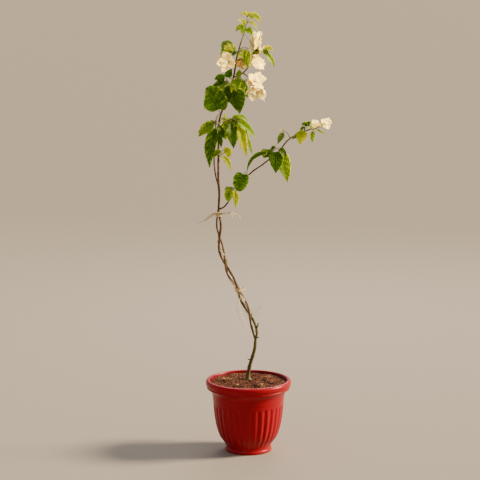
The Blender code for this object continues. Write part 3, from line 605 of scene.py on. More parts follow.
mixed = add(tree, "Mix", {0: greenness, 6: browns, 7: BARK_GREEN}, data_type="RGBA")
furrows = add(tree, "Bump", {"Height": streaks, "Distance": 0.0004, "Strength": 0.7})
feed(tree, shader, {"Base Color": mixed, "Normal": furrows})

stems = dict(zip(STEMS, stem_routes(BARK_STEP)))
for number, (name, (swell, covered)) in enumerate(STEMS.items()):
    route, radii = stems[name]
    rings = barked(route, [swell * radius for radius in radii], BARK_SEEDS * number)
    if name == "main_stem_bark":
        rings[0] = [Vector((point.x, point.y, TRUNK_FOOT.z - FOOT_SUNK)) for point in rings[0]]
    bark = Heap()
    bark.add(rings)
    bark.place(name, [young_bark], covered, "bark")


# ---- Nubs and thorns ----
# Along the stems: stubs where twigs were cut off, and a short hooked thorn here and there. They grow out
# of the wood and wear the same bark.

NUBS = (
    ("main_stem_bark", 216, (-0.95, -0.3, 0.25), 9.0, 1.7),
    ("main_stem_bark", 274, (0.9, -0.4, -0.1), 8.0, 1.7),
    ("main_stem_bark", 326, (0.8, -0.5, 0.2), 6.0, 1.2),
    ("main_stem_bark", 291, (0.28, -0.2, 1.0), 18.0, 2.0),
    ("side_stem_bark", 347, (-0.7, -0.6, 0.3), 5.5, 1.2),
    ("side_stem_bark", 484, (-1.0, -0.1, 0.1), 7.5, 1.1),
    ("main_stem_bark", 565, (-0.9, -0.4, 0.2), 9.0, 0.9),
    ("side_stem_bark", 603, (0.3, -0.6, 0.7), 4.0, 0.9),
    ("side_stem_bark", 702, (-0.3, -0.4, 1.0), 4.0, 0.8),
    ("side_stem_bark", 741, (-0.6, -0.4, 0.8), 5.0, 0.8),
)
THORN_FROM, THORN_SPACING = 40, 62
THORN_LENGTH, THORN_RADIUS, THORN_HOOK = (3.0, 5.4), 0.7, 0.3


def spike(foot, way, length, radius, hook):
    """Rings of a small tapering thorn or stub that bends by this much towards its tip."""
    shares = [k / 4 for k in range(5)]
    route = [foot + way * (length * t) + Vector((0, 0, -hook * length * t * t)) for t in shares]
    tip = 0.22 if hook else 0.72
    return tube(route, [radius * (1 - (1 - tip) * k / 4) for k in range(5)], 8)


growths = Heap()
for stem, height, way, length, radius in NUBS:
    foot = min(stems[stem][0], key=lambda point: abs(point.z - height))
    growths.add(spike(foot, Vector(way).normalized(), length, radius, 0.0))
chance = random.Random("thorns")
for route, radii in stems.values():
    ways = list(frames_along(route))
    for at in range(THORN_FROM, len(route) - 12, round(THORN_SPACING / BARK_STEP)):
        turn = chance.uniform(0, 2 * math.pi)
        ahead, side, across = ways[at]
        way = (math.cos(turn) * side + math.sin(turn) * across + 0.35 * ahead).normalized()
        length = radii[at] + chance.uniform(*THORN_LENGTH)
        growths.add(spike(route[at], way, length, THORN_RADIUS, THORN_HOOK))
growths.place("nubs_and_thorns", [young_bark], ["main_stem", "second_stem"], "bark", crease=60)


# ---- Raffia ties ----
# Dry palm fibre torn into flat strands: two bindings round both stems, each with a knot and frayed ends,
# a few loose strands that wander down the twined stems, and torn threads that hang from them.

# For each tie, the points that its left and its right end pass through, from its middle.
TIE_ENDS = {
    "lower": (((-6, -10, 4), (-10, -14, 1)), ((7, -13, 5), (14, -15, 9), (19, -16, -3))),
    "upper": (
        ((-4, -9, 7), (-18, -11, 3), (-31, -12, -9), (-52, -12, -20)),
        ((12, -16, 7), (31, -20, 10), (45, -21, 4), (53, -21, -5)),
    ),
}
TIE_ROUND = 7.2
STRANDS = 6
STRAND_WIDTH, STRAND_THICK, STRAND_STEP, STRAND_STRAY = (0.8, 1.6), 0.14, 1.3, 0.9
LOOSE_WIDTH, LOOSE_THICK, LOOSE_STRAY = 1.15, 0.15, 1.6
THREAD_WIDTH, THREAD_THICK, THREAD_STRAY = 0.45, 0.12, 1.2
LOOSE_STEP = 2.0
HANGING_THREADS = (
    ((-21, 4, 384), (-27, -6, 346), (-17, -6, 312), (-5, -5, 284)),
    ((-16, 4, 386), (-21, -7, 352), (-10, -7, 316), (1, -3, 290)),
    ((4, 4, 330), (15, -4, 335), (26, -6, 347), (33, -7, 360)),
    ((3, 4, 334), (14, -2, 343), (29, -4, 349)),
    ((9, 4, 322), (19, -4, 331), (31, -5, 338)),
)
# The heights between which each loose strand runs, the turn that it starts at, and how far off it lies.
LOOSE_STRANDS = (
    (548, 400, 0.3, 5.4), (520, 385, 2.2, 6.2), (470, 322, 4.0, 5.8), (432, 328, 5.6, 6.4),
    (418, 312, 2.6, 6.0), (404, 300, 1.1, 6.6),
)
FLAT_RING = ((1, 0), (0.5, 1), (-0.5, 1), (-1, 0), (-0.5, -1), (0.5, -1))


def ribbon(route, wide, thick, chance):
    """Rings of a flat strand that tapers at its ends and rolls over slowly."""
    rings, roll = [], chance.uniform(0, math.pi)
    for k, (point, (_, side, across)) in enumerate(zip(route, frames_along(route))):
        roll += chance.uniform(-0.12, 0.16)
        end = min(1.0, 0.25 + 4 * min(k, len(route) - 1 - k) / len(route))
        flat = math.cos(roll) * side + math.sin(roll) * across
        edge = math.cos(roll) * across - math.sin(roll) * side
        rings.append([point + wide * end * a * flat + thick * b * edge for a, b in FLAT_RING])
    return rings


noise.seed_set(5)  # noise_vector would differ with each run without it


def strayed(route, amount, seed):
    """A route pushed off itself by smooth noise, so that no two strands lie alike."""
    pushes = [noise.noise_vector(Vector((k / 5, seed, 0.5))) for k in range(len(route))]
    return [point + amount * push for point, push in zip(route, pushes)]


# Dry raffia: straw yellow, its fibres a little paler and darker along each strand, with a dull sheen.
RAFFIA_SHADES = ((0.32, "#A98A54"), (0.64, "#EBDCB0"))
dry_raffia = grained_finish(
    "dry_raffia", RAFFIA_SHADES, 0.0035, 4.0, 0.0002, 0.6, Roughness=0.72, Specular_IOR_Level=0.35
)

for (name, (left, right)), height in zip(TIE_ENDS.items(), TIE_HEIGHTS):
    chance = random.Random(name + "_raffia")
    at = min(range(len(twine_middle)), key=lambda k: abs(twine_middle[k].z - height))
    centre, along = twine_middle[at], heading(twine_middle, at)
    across = (Vector((1, 0, 0)) - along * along.x).normalized()
    back = along.cross(across)
    tie = Heap()
    for strand in range(STRANDS):
        reach = 1.0 if strand == 0 else chance.uniform(0.55, 0.97)
        line = [centre + reach * Vector(p) for p in reversed(left)]
        turns = 1.5 + (strand % 2)
        steps = round(turns * 10)
        for k in range(steps + 1):
            turn = math.pi + 2 * math.pi * turns * k / steps
            lift = 2.4 * turns * (k / steps - 0.5) + 0.9 * strand - 0.5
            around = math.cos(turn) * across + math.sin(turn) * back
            line.append(centre + (TIE_ROUND - 0.25 * strand) * around + lift * along)
        line += [centre + reach * Vector(p) for p in right]
        route = strayed(smooth_route(line, STRAND_STEP), STRAND_STRAY, 7.0 * strand)
        tie.add(ribbon(route, chance.uniform(*STRAND_WIDTH), STRAND_THICK, chance))
    knot = [centre + Vector((0, -TIE_ROUND - 0.6, 0)) + 1.9 * Vector(
        (math.sin(2 * t) + 0.4 * math.sin(t), 0.5 * math.sin(3 * t), math.cos(t) + 0.5 * math.cos(3 * t))
    ) for t in [2 * math.pi * k / 40 for k in range(41)]]
    tie.add(ribbon(knot, 0.8, 0.3, chance))
    tie.place(name + "_raffia", [dry_raffia], [name + "_tie"], "raffia", crease=60)

loose = Heap()
chance = random.Random("loose strands")
for number, (top, bottom, start_turn, off) in enumerate(LOOSE_STRANDS):
    line = []
    for k, point in enumerate(p for p in reversed(smooth_route(TWINE_LINE, 6)) if bottom < p.z < top):
        turn = start_turn + 0.42 * k
        line.append(point + off * Vector((math.cos(turn), 0.8 * math.sin(turn), 0)))
    route = strayed(smooth_route(line, LOOSE_STEP), LOOSE_STRAY, 11.0 * number)
    loose.add(ribbon(route, LOOSE_WIDTH, LOOSE_THICK, chance))
for number, line in enumerate(HANGING_THREADS):
    route = strayed(smooth_route(line, LOOSE_STEP), THREAD_STRAY, 5.0 * number)
    loose.add(ribbon(route, THREAD_WIDTH, THREAD_THICK, chance))
loose.place("loose_raffia", [dry_raffia], ["lower_tie", "upper_tie"], "raffia", crease=60)


# ---- Sprays ----
# Where the leaves and flowers grow: short stems on the boughs, the leaves that carry each spray's
# outline, its flowers, and leaves that fill its back where a seeded try finds room. Leaves and bracts
# that would meet are left out, so the coarse shapes here are only used to tell what is clear of what.

GAP = 0.3
CLEAR = 0.4
LIMB_STEP, LIMB_SIDES = 12, 7
FORK_HEIGHT, BEND_HEIGHT, CROWN_FORK = 262, 578, 895
# The share of a blade that is its stalk, its thickness, its fold, and its outline as (place, width).
BLADES = {
    "leaf": (0.14, 1.0, 0.22, ((0.0, 0.10), (0.14, 0.78), (0.44, 1.0), (0.78, 0.52))),
    "bract": (0.10, 0.8, 0.16, ((0.0, 0.12), (0.28, 0.86), (0.72, 0.88))),
}
STALK = 0.65
BRACT_WIDTH, BRACT_ARCH, BRACT_SPREAD = 0.84, 0.05, (0.88, 1.0)
LEAF_WIDTH, LEAF_ARCH = 0.62, (0.08, 0.30)
STEM_STEP, STEM_GIRTH = 4.0, (1.3, 0.7)
BACK_LEAF, SPRIG_LEAF = (34, 58), (22, 34)
BACK_TURN, BACK_DROP = 75, (10, 60)
FACE_WAVER = 0.25
TRIES = 40
SLIGHT_SPRAYS = ("low_sprig", "upper_left_leaves", "top_spray", "bough_outer_leaves", "bough_tip_flower")

# Each spray grows from its limb along its stem. A leaf is the share of that stem where it grows, its tip
# from there, its width and its arch, and the tones name each in turn: m mature, b mature, paler and
# bluish, f fresh, y young. A flower is the share too, its middle from there, the way it faces, its bracts'
# length and number, and how far the last of them opens in degrees. The back is how many leaves fill it.
SPRAYS = {
    "lower_left_leaves": dict(
        limb="left_shoot", back=1, tones="fmmmm",
        stem=((-75, -5, 761), (-76, -12, 774), (-74, -15, 788)),
        leaves=(
            (1, (-42, -5, -34), 28, 0.1), (0.8, (-30, 20, -11), 28, 0.16), (1, (-16, -11, -106), 31, 0.01),
            (0.3, (13, -9, -41), 15, 0.1), (0.9, (18, -8, -34), 14, 0.12),
        ),
    ),
    "lower_right_leaves": dict(
        limb="leader", back=3, tones="ymfmffyf",
        stem=((-68, 8, 762), (-58, -3, 785), (-46, -6, 792), (-34, -9, 794), (-25, -10, 790)),
        leaves=(
            (0.4, (4, 4, 29), 12, 0.05), (0.4, (8, -22, -39), 22, 0.1), (0.6, (-17, 12, -4), 11, 0.36),
            (0.7, (10, -23, -65), 30, 0.06), (0.8, (36, 15, -9), 12, 0.34), (0.9, (49, -1, -43), 24, 0.06),
            (1, (22, -18, -83), 23, 0.05), (1, (35, 6, -79), 16, 0.05),
        ),
    ),
    "low_sprig": dict(
        limb="leader", back=1, tones="yyf",
        stem=((-69, 8, 701), (-64, -1, 712), (-60, -6, 721)),
        leaves=((1, (13, -6, -15), 18, 0.5), (0.5, (24, -15, -39), 14, 0.08), (1, (-21, -8, -18), 14, 0.2)),
    ),
    "lower_back_leaves": dict(
        limb="leader", back=5,
        stem=((-69, 9, 752), (-66, 26, 762), (-60, 44, 766)),
    ),
    "shoot_top_leaves": dict(
        limb="left_shoot", tones="mm",
        stem=((-74, -6, 798), (-70, -10, 804), (-66, -13, 807)),
        leaves=((1, (-33, -13, 60), 58, 0.15), (0.4, (16, 31, 40), 30, 0.14)),
    ),
    "mid_left_leaves": dict(
        limb="leader", back=1, tones="mmm",
        stem=((-40, 9, 876), (-46, 0, 880), (-51, -4, 887)),
        leaves=((1, (14, -8, 24), 19, 0.12), (1, (-28, 0, -1), 20, 0.1), (0.8, (-39, 0, -21), 15, 0.1)),
    ),
    "mid_right_leaves": dict(
        limb="leader", back=2, tones="mmfyfff",
        stem=((-43, 9, 867), (-37, 0, 876), (-31, -5, 886), (-26, -9, 892)),
        leaves=(
            (0.2, (19, -30, -64), 43, 0.03), (0.4, (-14, -15, -49), 24, 0.06),
            (0.2, (-24, -10, -27), 14, 0.1), (0.7, (-6, -22, -27), 12, 0.08), (0.9, (0, -24, -30), 24, 0.1),
            (1, (9, -11, -25), 11, 0.1), (1, (5, -5, 19), 14, 0.15),
        ),
    ),
    "mid_back_leaves": dict(
        limb="leader", back=3,
        stem=((-43, 10, 866), (-39, 26, 874), (-34, 40, 876)),
    ),
    "upper_left_leaves": dict(
        limb="crown_leader", back=1, tones="bymf",
        stem=((-25, 8, 945), (-31, 0, 950), (-38, -4, 955)),
        leaves=(
            (1, (-24, 2, 4), 26, 0.36), (0.8, (-18, -18, 1), 24, 0.3), (0.5, (-6, -16, -8), 13, 0.1),
            (1, (-8, -20, -8), 13, 0.3),
        ),
    ),
    "left_blossom": dict(
        limb="crown_leader",
        stem=((-30, 8, 916), (-36, -1, 922), (-46, -4, 926)),
        flowers=((1, (-3, -3, 1), (-0.25, -1, 0.1), 28, 7, 95),),
    ),
    "front_leaves": dict(
        limb="crown_leader", tones="fy",
        stem=((-23, 8, 953), (-16, -2, 958), (-8, -9, 960), (-3, -12, 960)),
        leaves=((1, (2, -14, -48), 18, 0.06), (0.8, (-2, -12, -31), 14, 0.12)),
    ),
    "back_blossom": dict(
        limb="crown_leader", back=1,
        stem=((-27, 8, 930), (-22, 16, 933), (-16, 20, 934)),
        flowers=((1, (0, 0, 0), (0, 0.6, -1), 30, 5, 55),),
    ),
    "crown_back_leaves": dict(
        limb="crown_leader", back=3,
        stem=((-26, 8, 941), (-24, 24, 946), (-21, 36, 946)),
    ),
    "right_upper_blossom": dict(
        limb="crown_branch", back=1, tones="mmmfy",
        stem=((3, 1, 920), (11, -1, 931), (21, -4, 943), (29, -5, 949), (36, -5, 953)),
        leaves=(
            (0.3, (-2, -21, 17), 11, 0.2), (0.8, (-17, -11, 3), 13, 0.15), (0.9, (15, -12, -10), 13, 0.2),
            (0.9, (28, -3, -37), 15, 0.12), (1, (20, -4, -1), 16, 0.36),
        ),
        flowers=(
            (0.6, (-1, -1, 27), (-0.04, -0.05, 1), 33, 4, 25),
            (0.6, (5, -2, 8), (0.6, -0.3, 0.75), 22, 1, 0), (0.6, (-5, 1, -9), (-0.5, 0.05, -0.9), 28, 1, 0),
            (0.6, (-2, 2, 0), (-0.12, 0.2, -1), 42, 6, 58),
        ),
    ),
    "right_lower_blossom": dict(
        limb="crown_branch",
        stem=((-11, 5, 899), (-3, -1, 894), (7, -5, 886), (16, -7, 877)),
        flowers=(
            (0.6, (0, 0, 0), (-0.9, -0.3, -0.5), 25, 1, 0), (0.9, (5, -1, 3), (0.3, -0.9, 0.4), 26, 6, 90),
            (1, (2, -2, -12), (0.02, -0.6, -1), 36, 7, 66),
        ),
    ),
    "top_spray": dict(
        limb="crown_leader", back=1, tones="ffyyyyyf",
        stem=((-15, 8, 976), (-8, 7, 998), (-4, 6, 1017), (-3, 5, 1030)),
        leaves=(
            (0.4, (17, -23, -12), 20, 0.22), (0.5, (-23, -13, -7), 14, 0.3), (0.6, (-20, -21, 15), 9, 0.25),
            (0.8, (23, -4, -23), 9, 0.36), (1, (-16, -9, 3), 11, 0.5), (1, (31, -13, -13), 18, 0.3),
            (1, (10, 5, 9), 8, 0.25), (0.6, (-5, -19, -13), 9, 0.2),
        ),
    ),
    "bough_low_leaves": dict(
        limb="right_bough", back=1, tones="fy",
        stem=((-28, -10, 634), (-34, -16, 636), (-39, -19, 634)),
        leaves=((1, (-7, -6, -33), 21, 0.12), (0.8, (6, -7, -49), 15, 0.12)),
    ),
    "bough_round_leaf": dict(
        limb="right_bough", tones="m",
        stem=((-2, -12, 664), (-3, -17, 669), (-8, -21, 673)),
        leaves=((1, (-12, -11, -45), 39, 0.1),),
    ),
    "bough_middle_leaves": dict(
        limb="right_bough", back=1, tones="mmmmfmm",
        stem=((53, -6, 707), (56, -12, 718), (62, -14, 725), (68, -13, 728)),
        leaves=(
            (0.2, (-20, -1, -9), 10, 0.1), (0.4, (-59, -1, -47), 12, 0.3), (0.9, (-1, -18, -56), 34, 0.05),
            (0.6, (-15, -9, -14), 11, 0.25), (1, (23, -9, -80), 34, 0.08), (1, (19, -5, -23), 14, 0.2),
            (0.7, (-10, 8, 3), 13, 0.25),
        ),
    ),
    "bough_back_leaves": dict(
        limb="right_bough", back=3,
        stem=((56, -6, 708), (60, 10, 713), (64, 26, 713)),
    ),
    "bough_upper_leaf": dict(
        limb="right_bough", tones="b",
        stem=((97, -4, 750), (94, -8, 756), (90, -10, 763), (86, -11, 766)),
        leaves=((1, (-18, -3, -30), 15, 0.08),),
    ),
    "bough_outer_leaves": dict(
        limb="right_bough", back=1, tones="bymmmf",
        stem=((128, -2, 765), (132, -7, 771), (135, -10, 777)),
        leaves=(
            (0.3, (-30, -9, -20), 13, 0.04), (0.4, (-11, -12, -34), 26, 0.1), (1, (-11, -4, 5), 11, 0.3),
            (1, (11, 0, 11), 11, 0.2), (0.6, (-10, -14, -2), 11, 0.3), (1, (2, 2, 13), 9, 0.1),
        ),
    ),
    "bough_tip_flower": dict(
        limb="right_bough", tones="fff",
        stem=((144, 0, 771), (153, -3, 771), (163, -5, 775), (173, -4, 779), (180, -6, 784)),
        leaves=((0.2, (-3, -5, -33), 11, 0.06), (0.3, (26, -4, -14), 6, 0.04), (0.2, (-6, -7, 17), 9, 0.2)),
        flowers=(
            (0.5, (0, 0, 0), (-0.7, -0.2, 0.75), 23, 2, 22), (1, (0, 0, 0), (0.1, -1, 0.15), 17, 6, 84),
        ),
    ),
}


def place_along(route, share):
    return route[round(share * (len(route) - 1))]


def first_above(route, height):
    return next(k for k, point in enumerate(route) if point.z > height)


def nearest_on(limb, point):
    """The point of a limb's middle line that lies nearest to this one."""
    route, _, start, end = limb
    found = []
    for a, b in zip(route[start:end], route[start + 1 : end + 1]):
        share = (point - a).dot(b - a) / (b - a).length_squared
        found.append(a.lerp(b, min(1.0, max(0.0, share))))
    return min(found, key=lambda spot: (spot - point).length)


def blade_line(root, reach, arch):
    """The curve of a stalk and midrib, as a function of the share along it."""
    away = Vector((reach.x, reach.y, 0))
    away = away.normalized() if away.length > 1e-3 else FRONT
    chord = reach.normalized()
    lift = UP + 0.5 * away
    lift = (lift - chord * lift.dot(chord)).normalized()
    bend = root + 0.5 * reach + 1.5 * arch * reach.length * lift
    return lambda t: (1 - t) ** 2 * root + 2 * t * (1 - t) * bend + t**2 * (root + reach)


def ringed_solid(rings):
    return BVHTree.FromPolygons([point for ring in rings for point in ring], skinned(rings))


def coarse_solid(kind, root, reach, width, arch, face, _):
    """A leaf or bract with a few faces, grown by the clearance kept round it."""
    stalk, thick, fold, outline = BLADES[kind]
    line = blade_line(root, reach, arch)
    stations = [(0.0, STALK, 2 * STALK, 0.0)]
    stations += [(stalk + (1 - stalk) * place, 0.5 * width * share, thick, fold) for place, share in outline]
    points = []
    for t, half, depth, crease in stations:
        centre = line(t)
        ahead = (line(t + 0.02) - line(t - 0.02)).normalized()
        up = (face - ahead * face.dot(ahead)).normalized()
        side = (half + CLEAR) * ahead.cross(up)
        edge = centre + crease * half * up
        middle = (0.5 * depth + CLEAR) * up
        points += [edge + side, centre + middle, edge - side, centre - middle]
    points.append(line(1.0))
    faces = [(0, 1, 2, 3)]
    for k in range(len(stations) - 1):
        for i in range(4):
            a, b = 4 * k + i, 4 * k + (i + 1) % 4
            faces.append((a, a + 4, b + 4, b) if i % 2 else (b, a, a + 4, b + 4))
    last = 4 * (len(stations) - 1)
    faces += [(last + (i + 1) % 4, last + i, last + 4) for i in range(4)]
    return BVHTree.FromPolygons(points, faces)


def leaf_face(out, chance):
    """The way that a leaf's upper side looks: up, outward and, at the front, towards the light there."""
    light = FRONT if out.y < 0.5 else Vector()
    waver = Vector([chance.uniform(-FACE_WAVER, FACE_WAVER) for _ in range(3)])
    return 0.6 * UP + 0.45 * out + light + waver


def outer_leaves(spray, route, chance):
    """The leaves that carry a spray's outline."""
    for (share, tip, width, arch), tone in zip(spray.get("leaves", ()), spray.get("tones", "")):
        root = place_along(route, share)
        reach = Vector(tip)
        out = Vector((reach.x, reach.y, 0)).normalized()
        yield "leaf", root, reach, width, arch, leaf_face(out, chance), tone


def flower_bracts(spray, route, chance):
    """The bracts of each flower, opening wider from the middle out."""
    for share, middle, axis, length, count, widest in spray.get("flowers", ()):
        start = place_along(route, share)
        axis = Vector(axis).normalized()
        across = axis.orthogonal().normalized()
        turn = chance.uniform(0, 2 * math.pi)
        for k in range(count):
            turn += GOLDEN_TURN
            opening = math.radians(widest) * (0.5 + 0.5 * (k + 1) / count)
            out = math.cos(turn) * across + math.sin(turn) * axis.cross(across)
            way = math.cos(opening) * axis + math.sin(opening) * out
            reach = length * chance.uniform(*BRACT_SPREAD) * way
            face = math.sin(opening) * axis - math.cos(opening) * out
            yield "bract", start, Vector(middle) + reach, BRACT_WIDTH * length, BRACT_ARCH, face, "cream"


def is_clear(name, blade):
    """Whether a blade meets nothing of what has grown so far outside its own spray."""
    tree = coarse_solid(*blade)
    return not any(other.overlap(tree) for key, trees in taken.items() if key != name for other in trees)


def back_leaves(name, spray, route, chance):
    """Leaves that fill the back of a spray, each where a seeded try finds room for it."""
    slight = name in SLIGHT_SPRAYS
    low, high = SPRIG_LEAF if slight else BACK_LEAF
    tones = "fy" if slight else "mmf"
    for number in range(spray.get("back", 0)):
        for _ in range(TRIES):
            root = place_along(route, chance.uniform(0.3, 1.0))
            turn = math.radians(90 + chance.uniform(-BACK_TURN, BACK_TURN))
            drop = math.radians(chance.uniform(*BACK_DROP))
            out = Vector((math.cos(turn), math.sin(turn), 0))
            length = chance.uniform(low, high)
            reach = length * (math.cos(drop) * out - math.sin(drop) * UP)
            arch = chance.uniform(*LEAF_ARCH)
            face = leaf_face(out, chance)
            blade = ("leaf", root, reach, LEAF_WIDTH * length, arch, face, tones[number % len(tones)])
            if is_clear(name, blade):
                yield blade
                break


(axis, axis_girth), (side, side_girth), shoot, branch = stem_routes(LIMB_STEP)
fork, bend, crown = (first_above(axis, height) for height in (FORK_HEIGHT, BEND_HEIGHT, CROWN_FORK))
side_bend = first_above(side, BEND_HEIGHT)
limbs = {
    "trunk": (axis, axis_girth, 0, fork),
    "main_stem": (axis, axis_girth, fork, bend),
    "leader": (axis, axis_girth, bend, crown),
    "crown_leader": (axis, axis_girth, crown, len(axis) - 1),
    "second_stem": (side, side_girth, 0, side_bend),
    "right_bough": (side, side_girth, side_bend, len(side) - 1),
    "left_shoot": (*shoot, 0, len(shoot[0]) - 1),
    "crown_branch": (*branch, 0, len(branch[0]) - 1),
}
taken, spray_stems, blades = {}, {}, {}
for name, (route, girth, start, end) in limbs.items():
    rings = tube(route, [radius + 2 * GAP for radius in girth], LIMB_SIDES)
    taken[name] = [ringed_solid(rings[start : end + 1])]
for name, spray in SPRAYS.items():
    first, *others = (Vector(point) for point in spray["stem"])
    route = smooth_route([nearest_on(limbs[spray["limb"]], first), *others], STEM_STEP)
    taken[name] = [ringed_solid(tube(route, tapering(route, STEM_GIRTH), 5))]
    spray_stems[name] = route
for name, spray in SPRAYS.items():
    chance = random.Random(name)
    route = spray_stems[name]
    grown = [*outer_leaves(spray, route, chance), *flower_bracts(spray, route, chance)]
    grown = [blade for blade in grown if is_clear(name, blade)]
    grown += back_leaves(name, spray, route, chance)
    taken[name] += [coarse_solid(*blade) for blade in grown]
    blades[name] = grown


# ---- Twigs and leaf stalks ----
# Green shoots of the year, rough with fine hairs, with a stalk for each leaf and a small side shoot or
# bud in the angle of some of them, and a few thin bare stalks whose flowers have dropped.

BARE_STALKS = (
    ((21, -4, 943), (12, -12, 960), (3, -16, 976), (-3, -17, 983), (-9, -18, 992)),
    ((21, -4, 943), (11, -14, 962), (6, -20, 977), (10, -23, 985), (16, -25, 992)),
    ((-30, 4, 914), (-34, -6, 919), (-36, -9, 925), (-40, -13, 933)),
    ((-29, 5, 918), (-31, -6, 925), (-29, -11, 932)),
    ((-12, 3, 899), (-6, -9, 893), (3, -13, 886)),
)
BUDS_GROW, BUD_LENGTH = 0.55, (4, 11)
BUD_RADII = (0.55, 0.5, 0.5, 0.7, 0.15)
TWIG_STEP, TWIG_SIDES, STALK_SIDES = 1.6, 10, 8
STALK_RADIUS = {"leaf": 0.55, "bract": 0.5}
TWIG_SWELL, TWIG_ROUGH = 0.28, 0.06  # shares of the radius
SWELLING_EVERY, SWELLING_AT = 11, 5

# Green shoot: half dull, a little light in it, mottled with brown, its hairs drawn as a fine rough skin.
SHOOT_SHADES = ((0.36, "#6A5A26"), (0.62, "#7C8A2C"))
green_shoot, tree, shader = new_finish(
    "green_shoot",
    Roughness=0.55,
    Subsurface_Weight=0.08,
    Subsurface_Scale=0.001,
    Subsurface_Radius=(0.8, 1.0, 0.4),
)
place = add(tree, "TexCoord", {}).outputs["Object"]
mottle = add(tree, "TexNoise", {"Vector": place, "Scale": 1 / 0.008, "Detail": 3.0})
graded = add(tree, "ValToRGB", {"Fac": mottle}, SHOOT_SHADES)
hairs = add(tree, "TexNoise", {"Vector": place, "Scale": 1 / 0.0009, "Detail": 2.0})
rough = add(tree, "Bump", {"Height": hairs, "Distance": 0.0002})
feed(tree, shader, {"Base Color": graded, "Normal": rough})

twigs, buds = Heap(), []
for name, route in spray_stems.items():
    fine = smooth_route(route, TWIG_STEP)
    girth = tapering(fine, (STEM_GIRTH[0] * 0.95, STEM_GIRTH[1]))
    swollen = []
    for k, (radius, point) in enumerate(zip(girth, fine)):
        swelling = math.exp(-(((k * TWIG_STEP) % SWELLING_EVERY - SWELLING_AT) / 1.6) ** 2)
        swollen.append(radius * (1 + TWIG_SWELL * swelling + TWIG_ROUGH * noise.noise(point / 3)))
    swollen[-1] *= 0.5
    twigs.add(tube(fine, swollen, TWIG_SIDES))
    chance = random.Random("twigs of " + name)
    for kind, root, reach, _, arch, _, _ in blades[name]:
        share = BLADES[kind][0] + 0.02
        line = blade_line(root, reach, arch)
        stalk = [line(share * k / 9) for k in range(10)]
        radii = [STALK_RADIUS[kind] * (1.35 - 0.07 * k) for k in range(10)]
        twigs.add(tube(stalk, radii, STALK_SIDES))
        if kind == "leaf" and chance.random() < BUDS_GROW:
            length, luck = chance.uniform(*BUD_LENGTH), chance.random()
            ahead = (line(0.05) - root).normalized() + 0.7 * UP + Vector((luck - 0.5, 0.3, 0))
            buds.append((root, ahead.normalized(), length, luck))
for root, ahead, length, _ in buds:
    shares = (0, 0.3, 0.6, 0.85, 1)
    line = [root + ahead * (length * t) + Vector((0, 0, 0.12 * length * t * t)) for t in shares]
    twigs.add(tube(line, BUD_RADII, STALK_SIDES))
for line in BARE_STALKS:
    route = smooth_route(line, 1.5)
    twigs.add(tube(route, tapering(route, (0.55, 0.35)), 7))
twigs.place("twigs_and_stalks", [green_shoot], list(SPRAYS), "leaf")


# ---- Leaves ----
# Ovate blades that taper to a drawn out tip, or heart shaped where they are broad, thin and a little
# quilted between the side veins, folded along a pale midrib. The old ones are deep green, the fresh ones
# yellow-green, each with a margin painted lighter as a sunlit edge that light shines through.

# One more leaf of the top spray, too near the others for the solids.
TOP_LEAF = ("leaf", Vector((-7, 6, 1003)), Vector((16, -18, -15)), 16, 0.12, Vector((-0.2, -1, 0.7)), "f")
LEAF_STATIONS = 30
LEAF_ACROSS = (1.0, 0.86, 0.64, 0.42, 0.20, 0.025, -0.025, -0.20, -0.42, -0.64, -0.86, -1.0)
LEAF_THICK = 0.34
SIDE_VEINS = 6
LEAF_WAVES, LEAF_WAVY, LEAF_TWIST, LEAF_SWAY = (2.0, 3.6), (0.07, 0.17), 0.35, 0.05
BLADE_SHEEN = "#E8F08C"
LEAF_PIECES = {"mature_leaves": "bm", "fresh_leaves": "f", "young_leaves": "y"}
# For each tone: two shades of the upper side, then the midrib, the underside and the margin, painted
# lighter as a sunlit edge, then how rough the blade is and how much light shines through it.
LEAF_TONES = {
    "b": ("#34541C", "#476A2C", "#6E8A44", "#647F4C", "#42602A", 0.45, 0.35),
    "m": ("#182F00", "#2C4A00", "#577814", "#56741E", "#335602", 0.42, 0.4),
    "f": ("#426600", "#608400", "#8CA824", "#76941E", "#6C8C06", 0.48, 0.6),
    "y": ("#7C9400", "#AEA800", "#94A41C", "#A0A422", "#B4AC08", 0.52, 0.7),
}


def blade_finish(name, first, second, roughness, glow, grain):
    """A leaf's or bract's surface: two near shades in soft clouds, fine cells, and light from behind."""
    made, tree, shader = new_finish(
        name,
        Subsurface_Weight=glow,
        Subsurface_Scale=0.002,
        Subsurface_Radius=(0.9, 1.0, 0.5),
        Specular_IOR_Level=0.3,
        Specular_Tint=BLADE_SHEEN,
    )
    place = add(tree, "TexCoord", {}).outputs["Object"]
    cloud = add(tree, "TexNoise", {"Vector": place, "Scale": 1 / 0.014, "Detail": 4.0})
    share = add(tree, "MapRange", {"Value": cloud, 1: 0.34, 2: 0.66})
    mixed = add(tree, "Mix", {0: share, 6: first, 7: second}, data_type="RGBA")
    settings = {"Value": cloud, 1: 0.3, 2: 0.7, 3: roughness - 0.06, 4: roughness + 0.08}
    gloss = add(tree, "MapRange", settings)
    cells = add(tree, "TexNoise", {"Vector": place, "Scale": 1 / grain, "Detail": 3.0})
    bump = add(tree, "Bump", {"Height": cells, "Distance": 0.00025, "Strength": 0.5})
    feed(tree, shader, {"Base Color": mixed, "Roughness": gloss, "Normal": bump})
    return made


def blade_frame(line, t, face, turn):
    """At this share of a blade's line: the way ahead, up from its upper side, and across it."""
    ahead = (line(min(1.0, t + 0.02)) - line(t - 0.02)).normalized()
    up = (face - ahead * face.dot(ahead)).normalized()
    up = Matrix.Rotation(turn, 3, ahead) @ up
    return ahead, up, up.cross(ahead)


